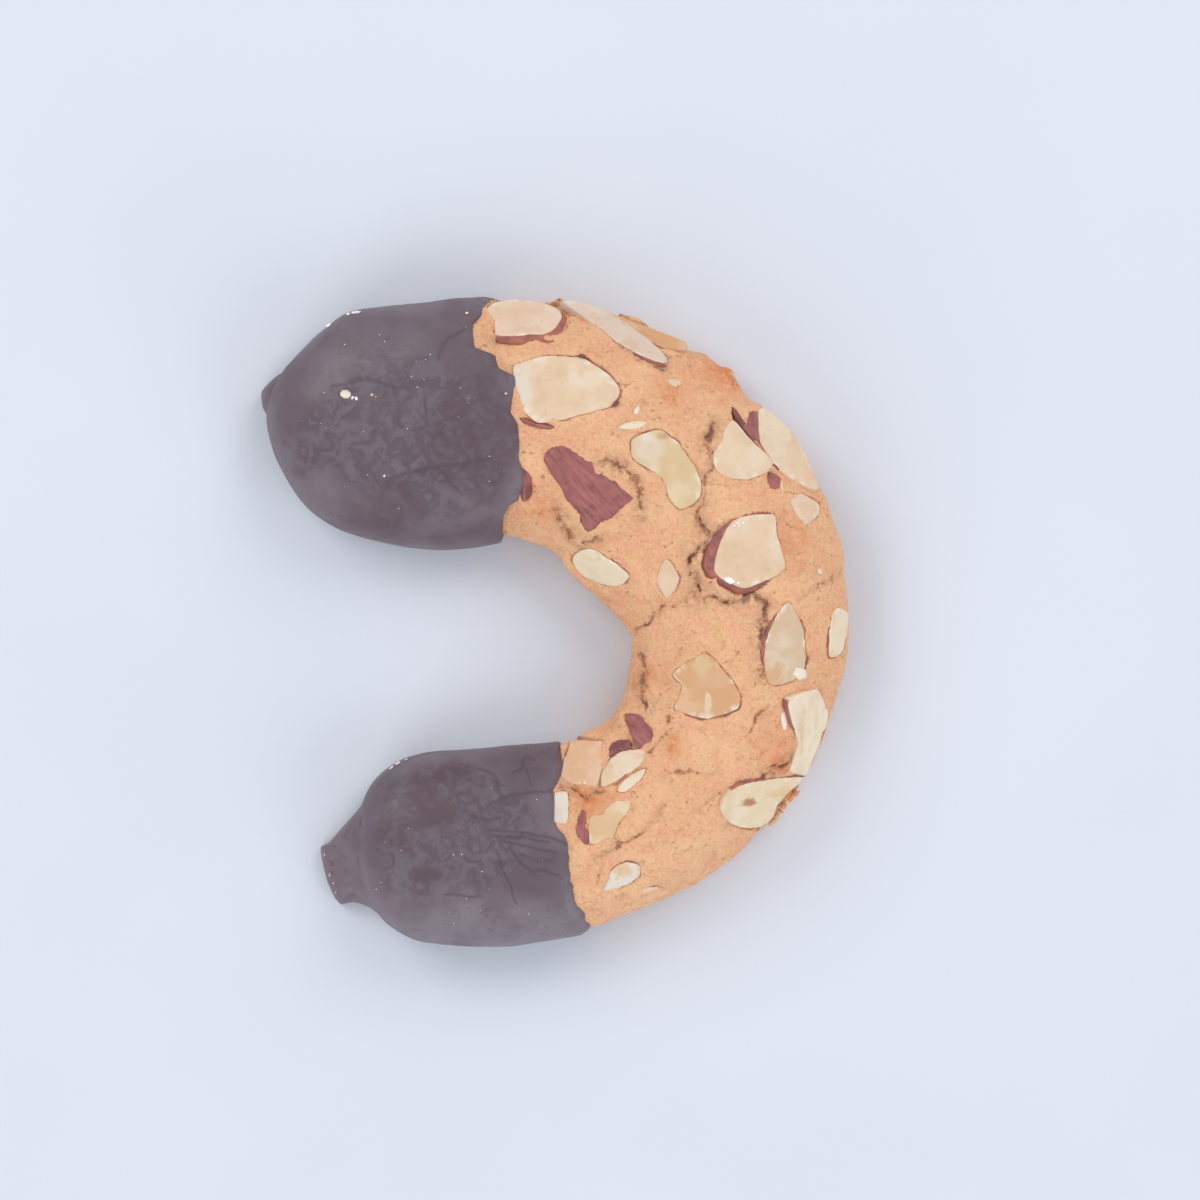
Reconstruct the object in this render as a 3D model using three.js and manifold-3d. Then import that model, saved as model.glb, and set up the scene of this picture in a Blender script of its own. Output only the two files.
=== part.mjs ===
// Almond horn with both ends dipped in dark chocolate: a C-shaped strip of almond dough, baked
// with sliced almonds on it, and a coat of chocolate over each arm. Millimetres, +Z up, resting
// on z = 0. +X is the closed side of the C, and +Y the broader, upper arm.

import * as THREE from 'three';
import { LoftGeometry } from 'three/addons/geometries/LoftGeometry.js';
import { ImprovedNoise } from 'three/addons/math/ImprovedNoise.js';
import { mergeVertices } from 'three/addons/utils/BufferGeometryUtils.js';
import Module from 'manifold-3d';

// Middle line of the dough strip, from the upper tip round the closed side to the lower tip:
// x, y and half width at stations along it.
const STATIONS = [
  [-52.5, 40.2, 13.4],
  [-41.0, 38.3, 18.7],
  [-23.5, 36.6, 21.8],
  [-6.5, 37.6, 21.6],
  [11.8, 31.6, 22.6],
  [27.6, 16.4, 22.6],
  [34.0, 0.2, 20.4],
  [31.0, -16.2, 18.8],
  [22.4, -29.8, 17.2],
  [7.6, -38.6, 16.8],
  [-9.5, -41.5, 17.3],
  [-23.5, -42.0, 16.4],
  [-35.8, -42.9, 14.5],
];

// Each end of the strip rounds off over a length, by a curve of a given power: 2 is an ellipse,
// and more is blunter.
const UPPER_TIP = { length: 15.5, power: 2 };
const LOWER_TIP = { length: 12.4, power: 2.5 };

// Section of the strip: a dome on a low edge, over a flat base. A wide stretch stands higher.
const HEIGHT_OF_EDGE = 5;
const HEIGHT_LEAST = 12.4;
const HEIGHT_PER_HALF_WIDTH = 0.3;
const DOME_POWER = 2.4;
const BASE_SHARE = 0.86;
const TIP_BASE_POWER = 0.35;

// Low crags of the baked crust. They die out over a short run before the chocolate, and between
// these two rises down the side.
const CRAG_HEIGHT = 0.7;
const CRAG_SPAN = 6;
const CRAG_FADE = 7;
const CRAG_FULL_RISE = 0.2;
const CRAG_NO_RISE = -0.6;

// A lump of crust that baked outwards: centre in plan, radius and height.
const LUMP = { at: [31.6, 46.8], radius: 4, height: 1.5 };

// Chocolate: coat thickness, thickness at the rim, and the clearance to the dough inside.
const COAT = 1.25;
const RIM_COAT = 0.9;
const CLEARANCE = 0.3;

// Where the chocolate ends: place across the strip (-1 at the inside of the C, 1 at the
// outside) and distance along the middle line.
const UPPER_RIM = [
  [-1, 41.8],
  [-0.7, 48.0],
  [-0.45, 48.4],
  [0, 45.0],
  [0.35, 43.6],
  [0.6, 39.8],
  [1, 40.9],
];
const LOWER_RIM = [
  [-1, 157.8],
  [-0.5, 163.0],
  [-0.1, 162.8],
  [0.3, 161.8],
  [1, 160.8],
];

// The dough rises off the floor by the coat's thickness before it reaches the chocolate.
const LIFT_RUN = 12;
const UPPER_LIFT_END = 50;
const LOWER_LIFT_END = 156;

// Tails of chocolate that set on the floor at the tips: outline in plan, and height.
const TAIL_BEVEL = 0.9;
const UPPER_TAIL = {
  outline: [[-46.0, 47.0], [-51.0, 45.6], [-53.5, 43.2], [-53.3, 40.9], [-52.0, 39.6], [-46.0, 39.4]],
  height: 6.2,
};
const LOWER_TAIL = {
  outline: [
    [-31.5, -36.0], [-34.3, -32.5], [-37.4, -36.4], [-39.6, -39.1], [-41.7, -41.5], [-43.2, -42.1],
    [-43.1, -43.7], [-42.2, -47.6], [-41.0, -50.6], [-39.9, -51.9], [-38.1, -51.4], [-36.4, -51.7],
    [-34.7, -52.5], [-32.6, -54.2], [-30.5, -51.0],
  ],
  height: 5.6,
};

// Almond pieces as seen from above: centre, length and width, turn of the length from +X in
// degrees, how much narrower the far end is, and how full the corners are: 2 is an oval, and
// more is a broken slice with blunt sides.
const ALMOND_PROUD = 0.6;
const ALMOND_SUNK = 4;
const ALMOND_CORNERS = 14;
const ALMONDS = [
  { at: [-4.4, 56.0], size: [12.4, 6.0], turn: 2, taper: 0.1, full: 3 },
  { at: [2.1, 43.1], size: [17.4, 12.6], turn: -6, taper: 0.15, full: 2.2 },
  { at: [5.3, 25.0], size: [17.4, 9.2], turn: 131, taper: -0.3, full: 2.6 },
  { at: [20.2, 28.7], size: [15.0, 8.0], turn: 133, taper: -0.1, full: 2.2 },
  { at: [33.6, 30.9], size: [11.2, 9.0], turn: 120, taper: 0.9, full: 2 },
  { at: [41.8, 31.4], size: [17.6, 5.6], turn: 126, taper: 0.2, full: 2 },
  { at: [45.4, 20.9], size: [5.8, 4.8], turn: 0, taper: 0, full: 3 },
  { at: [35.5, 13.1], size: [14.2, 12.2], turn: 72, taper: 0.1, full: 2.8 },
  { at: [42.0, -4.2], size: [14.8, 7.6], turn: 87, taper: 0.4, full: 2 },
  { at: [51.6, -1.8], size: [8.6, 3.4], turn: 82, taper: 0, full: 2 },
  { at: [26.4, -11.9], size: [13.8, 11.2], turn: -20, taper: 0.1, full: 2.6 },
  { at: [46.0, -19.6], size: [15.6, 7.4], turn: 85, taper: 0.1, full: 2.8 },
  { at: [36.2, -33.0], size: [14.2, 8.6], turn: 17, taper: 0.3, full: 2 },
  { at: [11.7, -46.5], size: [8.4, 4.6], turn: 33, taper: 0.2, full: 2 },
  { at: [9.6, -36.2], size: [10.2, 6.2], turn: 50, taper: 0.2, full: 3 },
  { at: [6.2, -25.6], size: [8.6, 8.2], turn: 80, taper: 0, full: 3.6 },
  { at: [12.6, -26.1], size: [9.0, 4.6], turn: 30, taper: 0.3, full: 2 },
  { at: [15.4, -20.2], size: [5.2, 3.6], turn: 116, taper: 0, full: 2.6 },
  { at: [1.5, -33.9], size: [5.2, 2.2], turn: 90, taper: 0, full: 4 },
  { at: [7.9, 10.2], size: [10.4, 5.0], turn: 155, taper: 0.2, full: 2 },
  { at: [20.2, 8.1], size: [7.2, 3.8], turn: 87, taper: 0.2, full: 2.4 },
  { at: [11.4, 53.6], size: [19.6, 3.6], turn: 148, taper: 0.1, full: 2 },
  { at: [41.0, -24.0], size: [8.6, 6.8], turn: 80, taper: 0, full: 2.4 },
];

// Cracks of the crust in plan, each with its width and depth.
const CRACK_STEP = 2;
const CRACK_END_SHARE = 0.25;
const CRACK_SWELL_POWER = 0.5;
const CRACK_REACH = 1.6;
const CRACKS = [
  {
    path: [
      [13.6, -1.8], [19.1, 3.2], [24.7, 4.2], [30.2, 4.2],
      [35.8, 5.6], [38.6, 2.3], [37.1, -3.2], [37.6, -10.6],
    ],
    width: 1.5,
    depth: 1.5,
  },
  {
    path: [[27.8, 35.2], [26.9, 26.4], [27.1, 21.7], [27.8, 17.1], [26.0, 11.6], [25.3, 7.9], [26.3, 4.4]],
    width: 1.3,
    depth: 1.3,
  },
  { path: [[41.6, 4.4], [45.0, 5.1], [49.7, 7.5], [52.0, 9.4]], width: 1.2, depth: 1.2 },
  { path: [[-0.6, 21.0], [4.3, 14.3], [8.0, 15.3], [14.2, 20.4], [15.4, 26.4]], width: 1.1, depth: 1.0 },
  { path: [[18.4, -23.4], [20.3, -18.6], [21.9, -16.2]], width: 1.0, depth: 0.9 },
  { path: [[20.1, -27.3], [25.0, -27.6], [29.3, -29.1]], width: 1.0, depth: 0.9 },
  { path: [[8.6, -42.1], [14.0, -39.2], [19.1, -34.7]], width: 1.0, depth: 0.9 },
];

// Corners of one ring of the strip, and rings along it.
const DOME_STEPS = 24;
const EDGE_STEPS = 2;
const BASE_STEPS = 4;
const TIP_RINGS = 7;
const TIP_FIRST_TURN = THREE.MathUtils.degToRad(8);
const DIPPED_RINGS = 6;
const BARE_RINGS = 54;
const INNER_RING_GROW = -2;
const PLACE_SAMPLES = 600;
const SLOPE_SPAN = 0.5;
const STEEPEST_PLACE = 0.95;
const MERGE_SPAN = 1e-4;

const wasm = await Module();
wasm.setup();
const { clamp, smoothstep, lerp, degToRad } = THREE.MathUtils;

// The middle line, and the half width along it on the same parameter.
function lineThrough(points) {
  return new THREE.CatmullRomCurve3(points, false, 'catmullrom', 0.5);
}

const middleLine = lineThrough(STATIONS.map(([x, y]) => new THREE.Vector3(x, y, 0)));
const widthLine = lineThrough(STATIONS.map(([, , half], index) => new THREE.Vector3(index, half, 0)));
middleLine.arcLengthDivisions = 1200;
const LENGTH = middleLine.getLength();

// Centre, outward direction and half width at a distance along the middle line. Past either
// tip the line goes straight on.
function frameAt(distance) {
  const inside = clamp(distance, 0, LENGTH);
  const t = middleLine.getUtoTmapping(inside / LENGTH);
  const along = middleLine.getTangent(t);
  const centre = middleLine.getPoint(t).addScaledVector(along, distance - inside);
  const outward = new THREE.Vector3(-along.y, along.x, 0);
  return { centre, outward, halfWidth: widthLine.getPoint(t).y };
}

function domeHeight(halfWidth) {
  return HEIGHT_LEAST + HEIGHT_PER_HALF_WIDTH * halfWidth;
}

// Share of the full section left at a distance from one tip.
function endShare(fromTip, { length, power }, grow) {
  const near = clamp((fromTip + grow) / (length + grow), 0, 1);
  return (1 - (1 - near) ** power) ** (1 / power);
}

// Share of the full section left at a distance along the line: a rounded end at each tip.
function tipShare(distance, grow) {
  return Math.min(endShare(distance, UPPER_TIP, grow), endShare(LENGTH - distance, LOWER_TIP, grow));
}

// Height of the dough's base above the floor.
function baseLift(distance) {
  const upper = 1 - smoothstep(distance, UPPER_LIFT_END, UPPER_LIFT_END + LIFT_RUN);
  const lower = smoothstep(distance, LOWER_LIFT_END - LIFT_RUN, LOWER_LIFT_END);
  return COAT * (upper + lower);
}

// Place on the strip's skin, grown outwards by a given amount. The corner is the place across
// (-1 to 1) and the rise: 1 at the crown, 0 at the widest line, -1 at the base.
function skinPoint(distance, [across, rise], grow) {
  const { centre, outward, halfWidth } = frameAt(distance);
  const share = tipShare(distance, grow);
  const crown = domeHeight(halfWidth) + grow;
  const base = Math.max(0, baseLift(distance) - grow);
  const up = (crown - HEIGHT_OF_EDGE) * share;
  const down = (HEIGHT_OF_EDGE - base) * share ** TIP_BASE_POWER;
  const point = centre.clone().addScaledVector(outward, across * (halfWidth + grow) * share);
  point.z = HEIGHT_OF_EDGE + rise * (rise > 0 ? up : down);
  return point;
}

function signedPower(value, power) {
  return Math.sign(value) * Math.abs(value) ** power;
}

// Corners of one ring, from the outer edge over the dome and back along the flat base.
function ringCorners() {
  const corners = [];
  for (let k = 0; k <= DOME_STEPS; k++) {
    const turn = (Math.PI * k) / DOME_STEPS;
    corners.push([
      signedPower(Math.cos(turn), 2 / DOME_POWER),
      Math.abs(Math.sin(turn)) ** (2 / DOME_POWER),
    ]);
  }
  const underEdge = [];
  for (let k = 1; k <= EDGE_STEPS; k++) {
    const turn = (Math.PI / 2) * (k / EDGE_STEPS);
    underEdge.push([BASE_SHARE + (1 - BASE_SHARE) * Math.cos(turn), -Math.sin(turn)]);
  }
  corners.push(...underEdge.map(([across, rise]) => [-across, rise]));
  for (let k = 1; k < BASE_STEPS; k++) {
    corners.push([BASE_SHARE * ((2 * k) / BASE_STEPS - 1), -1]);
  }
  corners.push(...underEdge.reverse());
  return corners;
}

const RING = ringCorners();

// Distances of the rings that round off a tip of the given length, counted from the tip.
function tipDistances(length) {
  const distances = [];
  for (let k = 0; k < TIP_RINGS; k++) {
    const turn = lerp(TIP_FIRST_TURN, Math.PI / 2, k / (TIP_RINGS - 1));
    distances.push(length * (1 - Math.cos(turn)));
  }
  return distances;
}

// Distances of all the rings of the strip: close together where the dough is bare.
function stripDistances(grow) {
  const upper = tipDistances(UPPER_TIP.length + grow).map((d) => d - grow);
  const lower = tipDistances(LOWER_TIP.length + grow).map((d) => LENGTH + grow - d);
  const middle = [];
  for (let k = 1; k < DIPPED_RINGS; k++) {
    middle.push(lerp(UPPER_TIP.length, UPPER_LIFT_END, k / DIPPED_RINGS));
  }
  for (let k = 0; k <= BARE_RINGS; k++) {
    middle.push(lerp(UPPER_LIFT_END, LOWER_LIFT_END, k / BARE_RINGS));
  }
  for (let k = 1; k < DIPPED_RINGS; k++) {
    middle.push(lerp(LOWER_LIFT_END, LENGTH - LOWER_TIP.length, k / DIPPED_RINGS));
  }
  return [...upper, ...middle, ...lower.reverse()];
}

const noise = new ImprovedNoise();

// Moves a place on the skin out or in along its ray from the middle of the section. The crags
// and the lump die out towards the chocolate and on the base.
function addCrag(point, distance, rise) {
  const { centre } = frameAt(distance);
  const ray = point.clone().sub(centre.setZ(HEIGHT_OF_EDGE)).normalize();
  const bare = smoothstep(distance, UPPER_LIFT_END, UPPER_LIFT_END + CRAG_FADE)
    * (1 - smoothstep(distance, LOWER_LIFT_END - CRAG_FADE, LOWER_LIFT_END));
  const aboveBase = smoothstep(rise, CRAG_NO_RISE, CRAG_FULL_RISE);
  const wave = noise.noise(point.x / CRAG_SPAN, point.y / CRAG_SPAN, point.z / CRAG_SPAN);
  const lumpGap = Math.hypot(point.x - LUMP.at[0], point.y - LUMP.at[1]) / LUMP.radius;
  const height = CRAG_HEIGHT * wave + LUMP.height * Math.exp(-(lumpGap ** 2));
  return point.addScaledVector(ray, bare * aboveBase * height);
}

// Closed solids from geometries, and geometries from solids.
function toSolid(geometry) {
  const bare = new THREE.BufferGeometry().copy(geometry);
  bare.deleteAttribute('normal');
  bare.deleteAttribute('uv');
  const merged = mergeVertices(bare, MERGE_SPAN);
  return new wasm.Manifold(new wasm.Mesh({
    numProp: 3,
    vertProperties: new Float32Array(merged.attributes.position.array),
    triVerts: new Uint32Array(merged.index.array),
  }));
}

function toMesh(name, solid, material) {
  const { vertProperties, triVerts } = solid.getMesh();
  const geometry = new THREE.BufferGeometry();
  geometry.setAttribute('position', new THREE.BufferAttribute(vertProperties, 3));
  geometry.setIndex(new THREE.BufferAttribute(triVerts, 1));
  geometry.computeVertexNormals();
  const mesh = new THREE.Mesh(geometry, material);
  mesh.name = name;
  return mesh;
}

function toLoft(rings) {
  return toSolid(new LoftGeometry(rings, { capStart: true, capEnd: true }));
}

// The dough strip without its almonds and cracks.
function doughStrip(grow, place) {
  return toLoft(stripDistances(grow).map((distance) => RING.map((corner) => {
    const point = skinPoint(distance, corner, grow);
    return place(point, distance, corner[1]);
  })));
}

// Distance along the middle line and place across it of a point in plan.
const placeSamples = Array.from({ length: PLACE_SAMPLES + 1 }, (_, k) => {
  const distance = (LENGTH * k) / PLACE_SAMPLES;
  return { distance, ...frameAt(distance) };
});

function placeOnStrip(x, y) {
  const target = new THREE.Vector3(x, y, 0);
  let nearest = placeSamples[0];
  for (const sample of placeSamples) {
    if (sample.centre.distanceTo(target) < nearest.centre.distanceTo(target)) {
      nearest = sample;
    }
  }
  const aside = target.sub(nearest.centre).dot(nearest.outward);
  return { halfWidth: nearest.halfWidth, across: aside / nearest.halfWidth };
}

// Height of the dome over a point in plan.
function crustHeight(x, y) {
  const { halfWidth, across } = placeOnStrip(x, y);
  const reach = Math.min(Math.abs(across), STEEPEST_PLACE);
  const rise = (1 - reach ** DOME_POWER) ** (1 / DOME_POWER);
  return lerp(HEIGHT_OF_EDGE, domeHeight(halfWidth), rise);
}

// Outline of an almond piece about its own centre: an oval, or a fuller shape with blunt sides,
// that narrows towards one end.
function almondOutline({ size: [length, width], taper, full }) {
  const outline = [];
  for (let k = 0; k < ALMOND_CORNERS; k++) {
    const turn = (2 * Math.PI * k) / ALMOND_CORNERS;
    const lengthways = signedPower(Math.cos(turn), 2 / full);
    const sideways = signedPower(Math.sin(turn), 2 / full) * (1 - (taper * lengthways) / 2);
    outline.push(new THREE.Vector2((length / 2) * lengthways, (width / 2) * sideways));
  }
  return outline;
}

// An almond piece, half sunk, lying along the slope of the crust under it. Its outline is the
// one seen from above, so it is longer on a steep side.
function almond(piece) {
  const [x, y] = piece.at;
  const slopeX = (crustHeight(x + SLOPE_SPAN, y) - crustHeight(x - SLOPE_SPAN, y)) / (2 * SLOPE_SPAN);
  const slopeY = (crustHeight(x, y + SLOPE_SPAN) - crustHeight(x, y - SLOPE_SPAN)) / (2 * SLOPE_SPAN);
  const normal = new THREE.Vector3(-slopeX, -slopeY, 1).normalize();
  const geometry = new THREE.ExtrudeGeometry(new THREE.Shape(almondOutline(piece)), {
    depth: ALMOND_PROUD + ALMOND_SUNK,
    bevelEnabled: false,
  });
  geometry.translate(0, 0, -ALMOND_SUNK);
  geometry.rotateZ(degToRad(piece.turn));
  geometry.applyMatrix4(new THREE.Matrix4().makeBasis(
    new THREE.Vector3(1, 0, slopeX),
    new THREE.Vector3(0, 1, slopeY),
    normal,
  ));
  geometry.translate(x, y, crustHeight(x, y));
  return toSolid(geometry);
}

// A crack to be cut from the crust: a wedge that follows its path and narrows at both ends.
function crack({ path, width, depth }) {
  const line = lineThrough(path.map(([x, y]) => new THREE.Vector3(x, y, 0)));
  const steps = Math.ceil(line.getLength() / CRACK_STEP);
  const rings = [];
  for (let k = 0; k <= steps; k++) {
    const centre = line.getPointAt(k / steps);
    const along = line.getTangentAt(k / steps);
    const aside = new THREE.Vector3(-along.y, along.x, 0);
    const share = lerp(CRACK_END_SHARE, 1, Math.sin((Math.PI * k) / steps) ** CRACK_SWELL_POWER);
    const crust = crustHeight(centre.x, centre.y);
    const half = (width / 2) * share * (1 + CRACK_REACH / (depth * share));
    const side = (sign) => centre.clone().addScaledVector(aside, sign * half).setZ(crust + CRACK_REACH);
    rings.push([side(1), side(-1), centre.clone().setZ(crust - depth * share)]);
  }
  return toLoft(rings);
}

// Place along the strip where the chocolate ends, by straight runs between the rim's points.
function rimAt(rim, across) {
  const next = Math.max(1, rim.findIndex(([place]) => place >= across - 1e-9));
  const [placeA, distanceA] = rim[next - 1];
  const [placeB, distanceB] = rim[next];
  return lerp(distanceA, distanceB, (across - placeA) / (placeB - placeA));
}

// Outer skin of the chocolate on one arm: rings from the tip to the rim, then one more inside
// the dough that closes it.
function chocolateSkin(rim, fromTip, { length }) {
  const rings = tipDistances(length + COAT).map((d) => (
    RING.map((corner) => skinPoint(fromTip(d - COAT), corner, COAT))
  ));
  const towardsRim = (corner, share) => lerp(fromTip(length), rimAt(rim, corner[0]), share);
  for (let k = 1; k <= DIPPED_RINGS; k++) {
    const grow = k === DIPPED_RINGS ? RIM_COAT : COAT;
    rings.push(RING.map((corner) => skinPoint(towardsRim(corner, k / DIPPED_RINGS), corner, grow)));
  }
  rings.push(RING.map((corner) => skinPoint(towardsRim(corner, 1), corner, INNER_RING_GROW)));
  return rings;
}

// A tail of set chocolate: a low slab with rounded edges on the floor.
function tail({ outline, height }) {
  const shape = new THREE.Shape(outline.map(([x, y]) => new THREE.Vector2(x, y)));
  const geometry = new THREE.ExtrudeGeometry(shape, {
    depth: height - 2 * TAIL_BEVEL,
    bevelThickness: TAIL_BEVEL,
    bevelSize: TAIL_BEVEL,
    bevelSegments: 2,
  });
  geometry.translate(0, 0, TAIL_BEVEL);
  return toSolid(geometry);
}

const biscuitMaterial = new THREE.MeshStandardMaterial({ color: 0xe6b08a, roughness: 0.85, metalness: 0 });
const chocolateMaterial = new THREE.MeshStandardMaterial({ color: 0x4a3a3c, roughness: 0.4, metalness: 0 });

const cracked = CRACKS.map(crack).reduce((dough, cut) => dough.subtract(cut), doughStrip(0, addCrag));
const biscuit = ALMONDS.map(almond).reduce((dough, piece) => dough.add(piece), cracked);

const room = doughStrip(CLEARANCE, (point) => point);
const upperSkin = chocolateSkin(UPPER_RIM, (d) => d, UPPER_TIP);
const lowerSkin = chocolateSkin(LOWER_RIM, (d) => LENGTH - d, LOWER_TIP).reverse();
const upperChocolate = toLoft(upperSkin).add(tail(UPPER_TAIL)).subtract(room);
const lowerChocolate = toLoft(lowerSkin).add(tail(LOWER_TAIL)).subtract(room);

const horn = new THREE.Group();
horn.add(
  toMesh('biscuit', biscuit, biscuitMaterial),
  toMesh('chocolate_upper', upperChocolate, chocolateMaterial),
  toMesh('chocolate_lower', lowerChocolate, chocolateMaterial),
);

export default horn;
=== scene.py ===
"""Looks of an almond horn whose two ends are dipped in chocolate.

The horn is a C-shaped strip of almond dough, with sliced almonds baked into its cracked crust and
a coat of dark chocolate over the end of each arm. Shapes are worked out in millimetres in the
horn's own frame, +Z up from the flat base, and become metres when their mesh is made.
"""
import logging
import math
from dataclasses import dataclass, field
from enum import Enum
from typing import NamedTuple

import bpy
import numpy as np
from numpy.typing import NDArray
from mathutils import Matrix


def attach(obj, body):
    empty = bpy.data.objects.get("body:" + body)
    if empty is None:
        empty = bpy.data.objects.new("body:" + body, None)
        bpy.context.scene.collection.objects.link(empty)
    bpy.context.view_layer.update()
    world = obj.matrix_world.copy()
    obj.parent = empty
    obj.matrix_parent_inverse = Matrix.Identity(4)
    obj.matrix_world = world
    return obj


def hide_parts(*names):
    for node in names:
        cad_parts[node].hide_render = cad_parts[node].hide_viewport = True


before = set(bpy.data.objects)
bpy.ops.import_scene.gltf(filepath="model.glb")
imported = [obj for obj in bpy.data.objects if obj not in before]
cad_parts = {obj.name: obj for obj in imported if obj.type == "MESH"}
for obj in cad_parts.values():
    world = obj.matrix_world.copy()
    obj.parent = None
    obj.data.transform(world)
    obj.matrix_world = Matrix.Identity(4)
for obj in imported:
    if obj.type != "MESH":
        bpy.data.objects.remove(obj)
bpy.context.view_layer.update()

Field = NDArray[np.float64]
Plan = tuple[tuple[float, float], ...]
Colour = tuple[float, float, float, float]
Socket = bpy.types.NodeSocket

LOG = logging.getLogger("almond_horn")
MM = 0.001
BODY = "root"
# Value that the crack_shade mark, the painted shade in the cracks, has at the edge of an open
# crack.
CLEFT_LEVEL = 0.5


def srgb(red: int, green: int, blue: int) -> Colour:
    """Linear colour of 8-bit display values, by the standard display curve.

    Args:
        red: red, 0 to 255.
        green: green, 0 to 255.
        blue: blue, 0 to 255.

    Returns:
        Red, green, blue and full opacity, 0 to 1.
    """
    share = np.array([red, green, blue]) / 255
    linear = np.where(share <= 0.04045, share / 12.92, ((share + 0.055) / 1.055) ** 2.4)
    return (float(linear[0]), float(linear[1]), float(linear[2]), 1.0)


def smoothstep(value: Field, low: Field | float, high: Field | float) -> Field:
    """Smooth rise from 0 at low to 1 at high: t * t * (3 - 2 t) of the clamped share t."""
    share = np.clip((value - low) / (high - low), 0.0, 1.0)
    return share * share * (3.0 - 2.0 * share)


def signed_power(value: Field, power: float) -> Field:
    """The size of a value raised to a power, with the value's own sign."""
    return np.sign(value) * np.abs(value) ** power


def hermite(start: Field, end: Field, leave: Field, arrive: Field, t: Field) -> Field:
    """Cubic from start to end whose slopes at the two ends are leave and arrive.

    Args:
        start: first points.
        end: last points.
        leave: slopes at the first points.
        arrive: slopes at the last points.
        t: share of the way, 0 to 1.

    Returns:
        The points at t.
    """
    swing = t * t * (3.0 - 2.0 * t)
    out = t * (1.0 - t) ** 2
    back = t * t * (t - 1.0)
    return start + (end - start) * swing + leave * out + arrive * back


def gap_to_path(plan: Field, path: Plan) -> Field:
    """Distance in plan from each point to the nearest stretch of a path.

    Args:
        plan: points as x and y in mm, one a row.
        path: the path's corners.

    Returns:
        One distance a point.
    """
    corners = np.array(path)
    nearest = np.full(len(plan), np.inf)
    for start, end in zip(corners[:-1], corners[1:]):
        run = end - start
        share = np.clip((plan - start) @ run / (run @ run), 0.0, 1.0)
        foot = start + share[:, None] * run
        nearest = np.minimum(nearest, np.linalg.norm(plan - foot, axis=1))
    return nearest


def ring_normals(rings: Field) -> Field:
    """Unit normals of a surface of closed rings: the step round crossed with the step along.

    Args:
        rings: points in mm, as ring, place in the ring, coordinate.

    Returns:
        One normal a point.
    """
    along = np.gradient(rings, axis=0)
    around = np.roll(rings, -1, axis=1) - np.roll(rings, 1, axis=1)
    normal = np.cross(around, along)
    return normal / np.maximum(np.linalg.norm(normal, axis=-1, keepdims=True), 1e-12)


@dataclass(frozen=True)
class Grain:
    """Smooth random field in space, the same at every run.

    Random values sit on a cubic lattice of the given span. Between them the field blends by
    6t^5 - 15t^4 + 10t^3, and each further octave has half the span and half the strength.
    """

    span: float
    octaves: int = 1
    seed: int = 1

    def lattice(self, cell: NDArray[np.int64]) -> Field:
        """Random value of each lattice point, by mixing the bits of its place.

        Args:
            cell: whole numbers of the lattice points, with the coordinate last.

        Returns:
            One value a point, -1 to 1.
        """
        mixed = cell[..., 0] * 374761393 + cell[..., 1] * 668265263 + cell[..., 2] * 1440662683
        mixed = (mixed + self.seed * 982451653) & 0x7FFFFFFF
        mixed = ((mixed ^ (mixed >> 13)) * 1274126177) & 0x7FFFFFFF
        mixed = ((mixed ^ (mixed >> 16)) * 2246822519) & 0x7FFFFFFF
        return ((mixed >> 7) & 0xFFFF) / 32767.5 - 1.0

    def at(self, points: Field) -> Field:
        """The field at points.

        Args:
            points: places in mm, with the coordinate last.

        Returns:
            One value a point, about -1 to 1.
        """
        total = np.zeros(points.shape[:-1])
        strength = 1.0
        for octave in range(self.octaves):
            place = points / self.span * 2.0**octave + 17.3 * octave
            cell = np.floor(place).astype(np.int64)
            t = place - cell
            fade = t**3 * (t * (t * 6.0 - 15.0) + 10.0)
            for corner in np.ndindex(2, 2, 2):
                weight = np.prod(np.where(np.array(corner) == 1, fade, 1.0 - fade), axis=-1)
                total += strength * weight * self.lattice(cell + np.array(corner))
            strength *= 0.5
        return total


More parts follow.
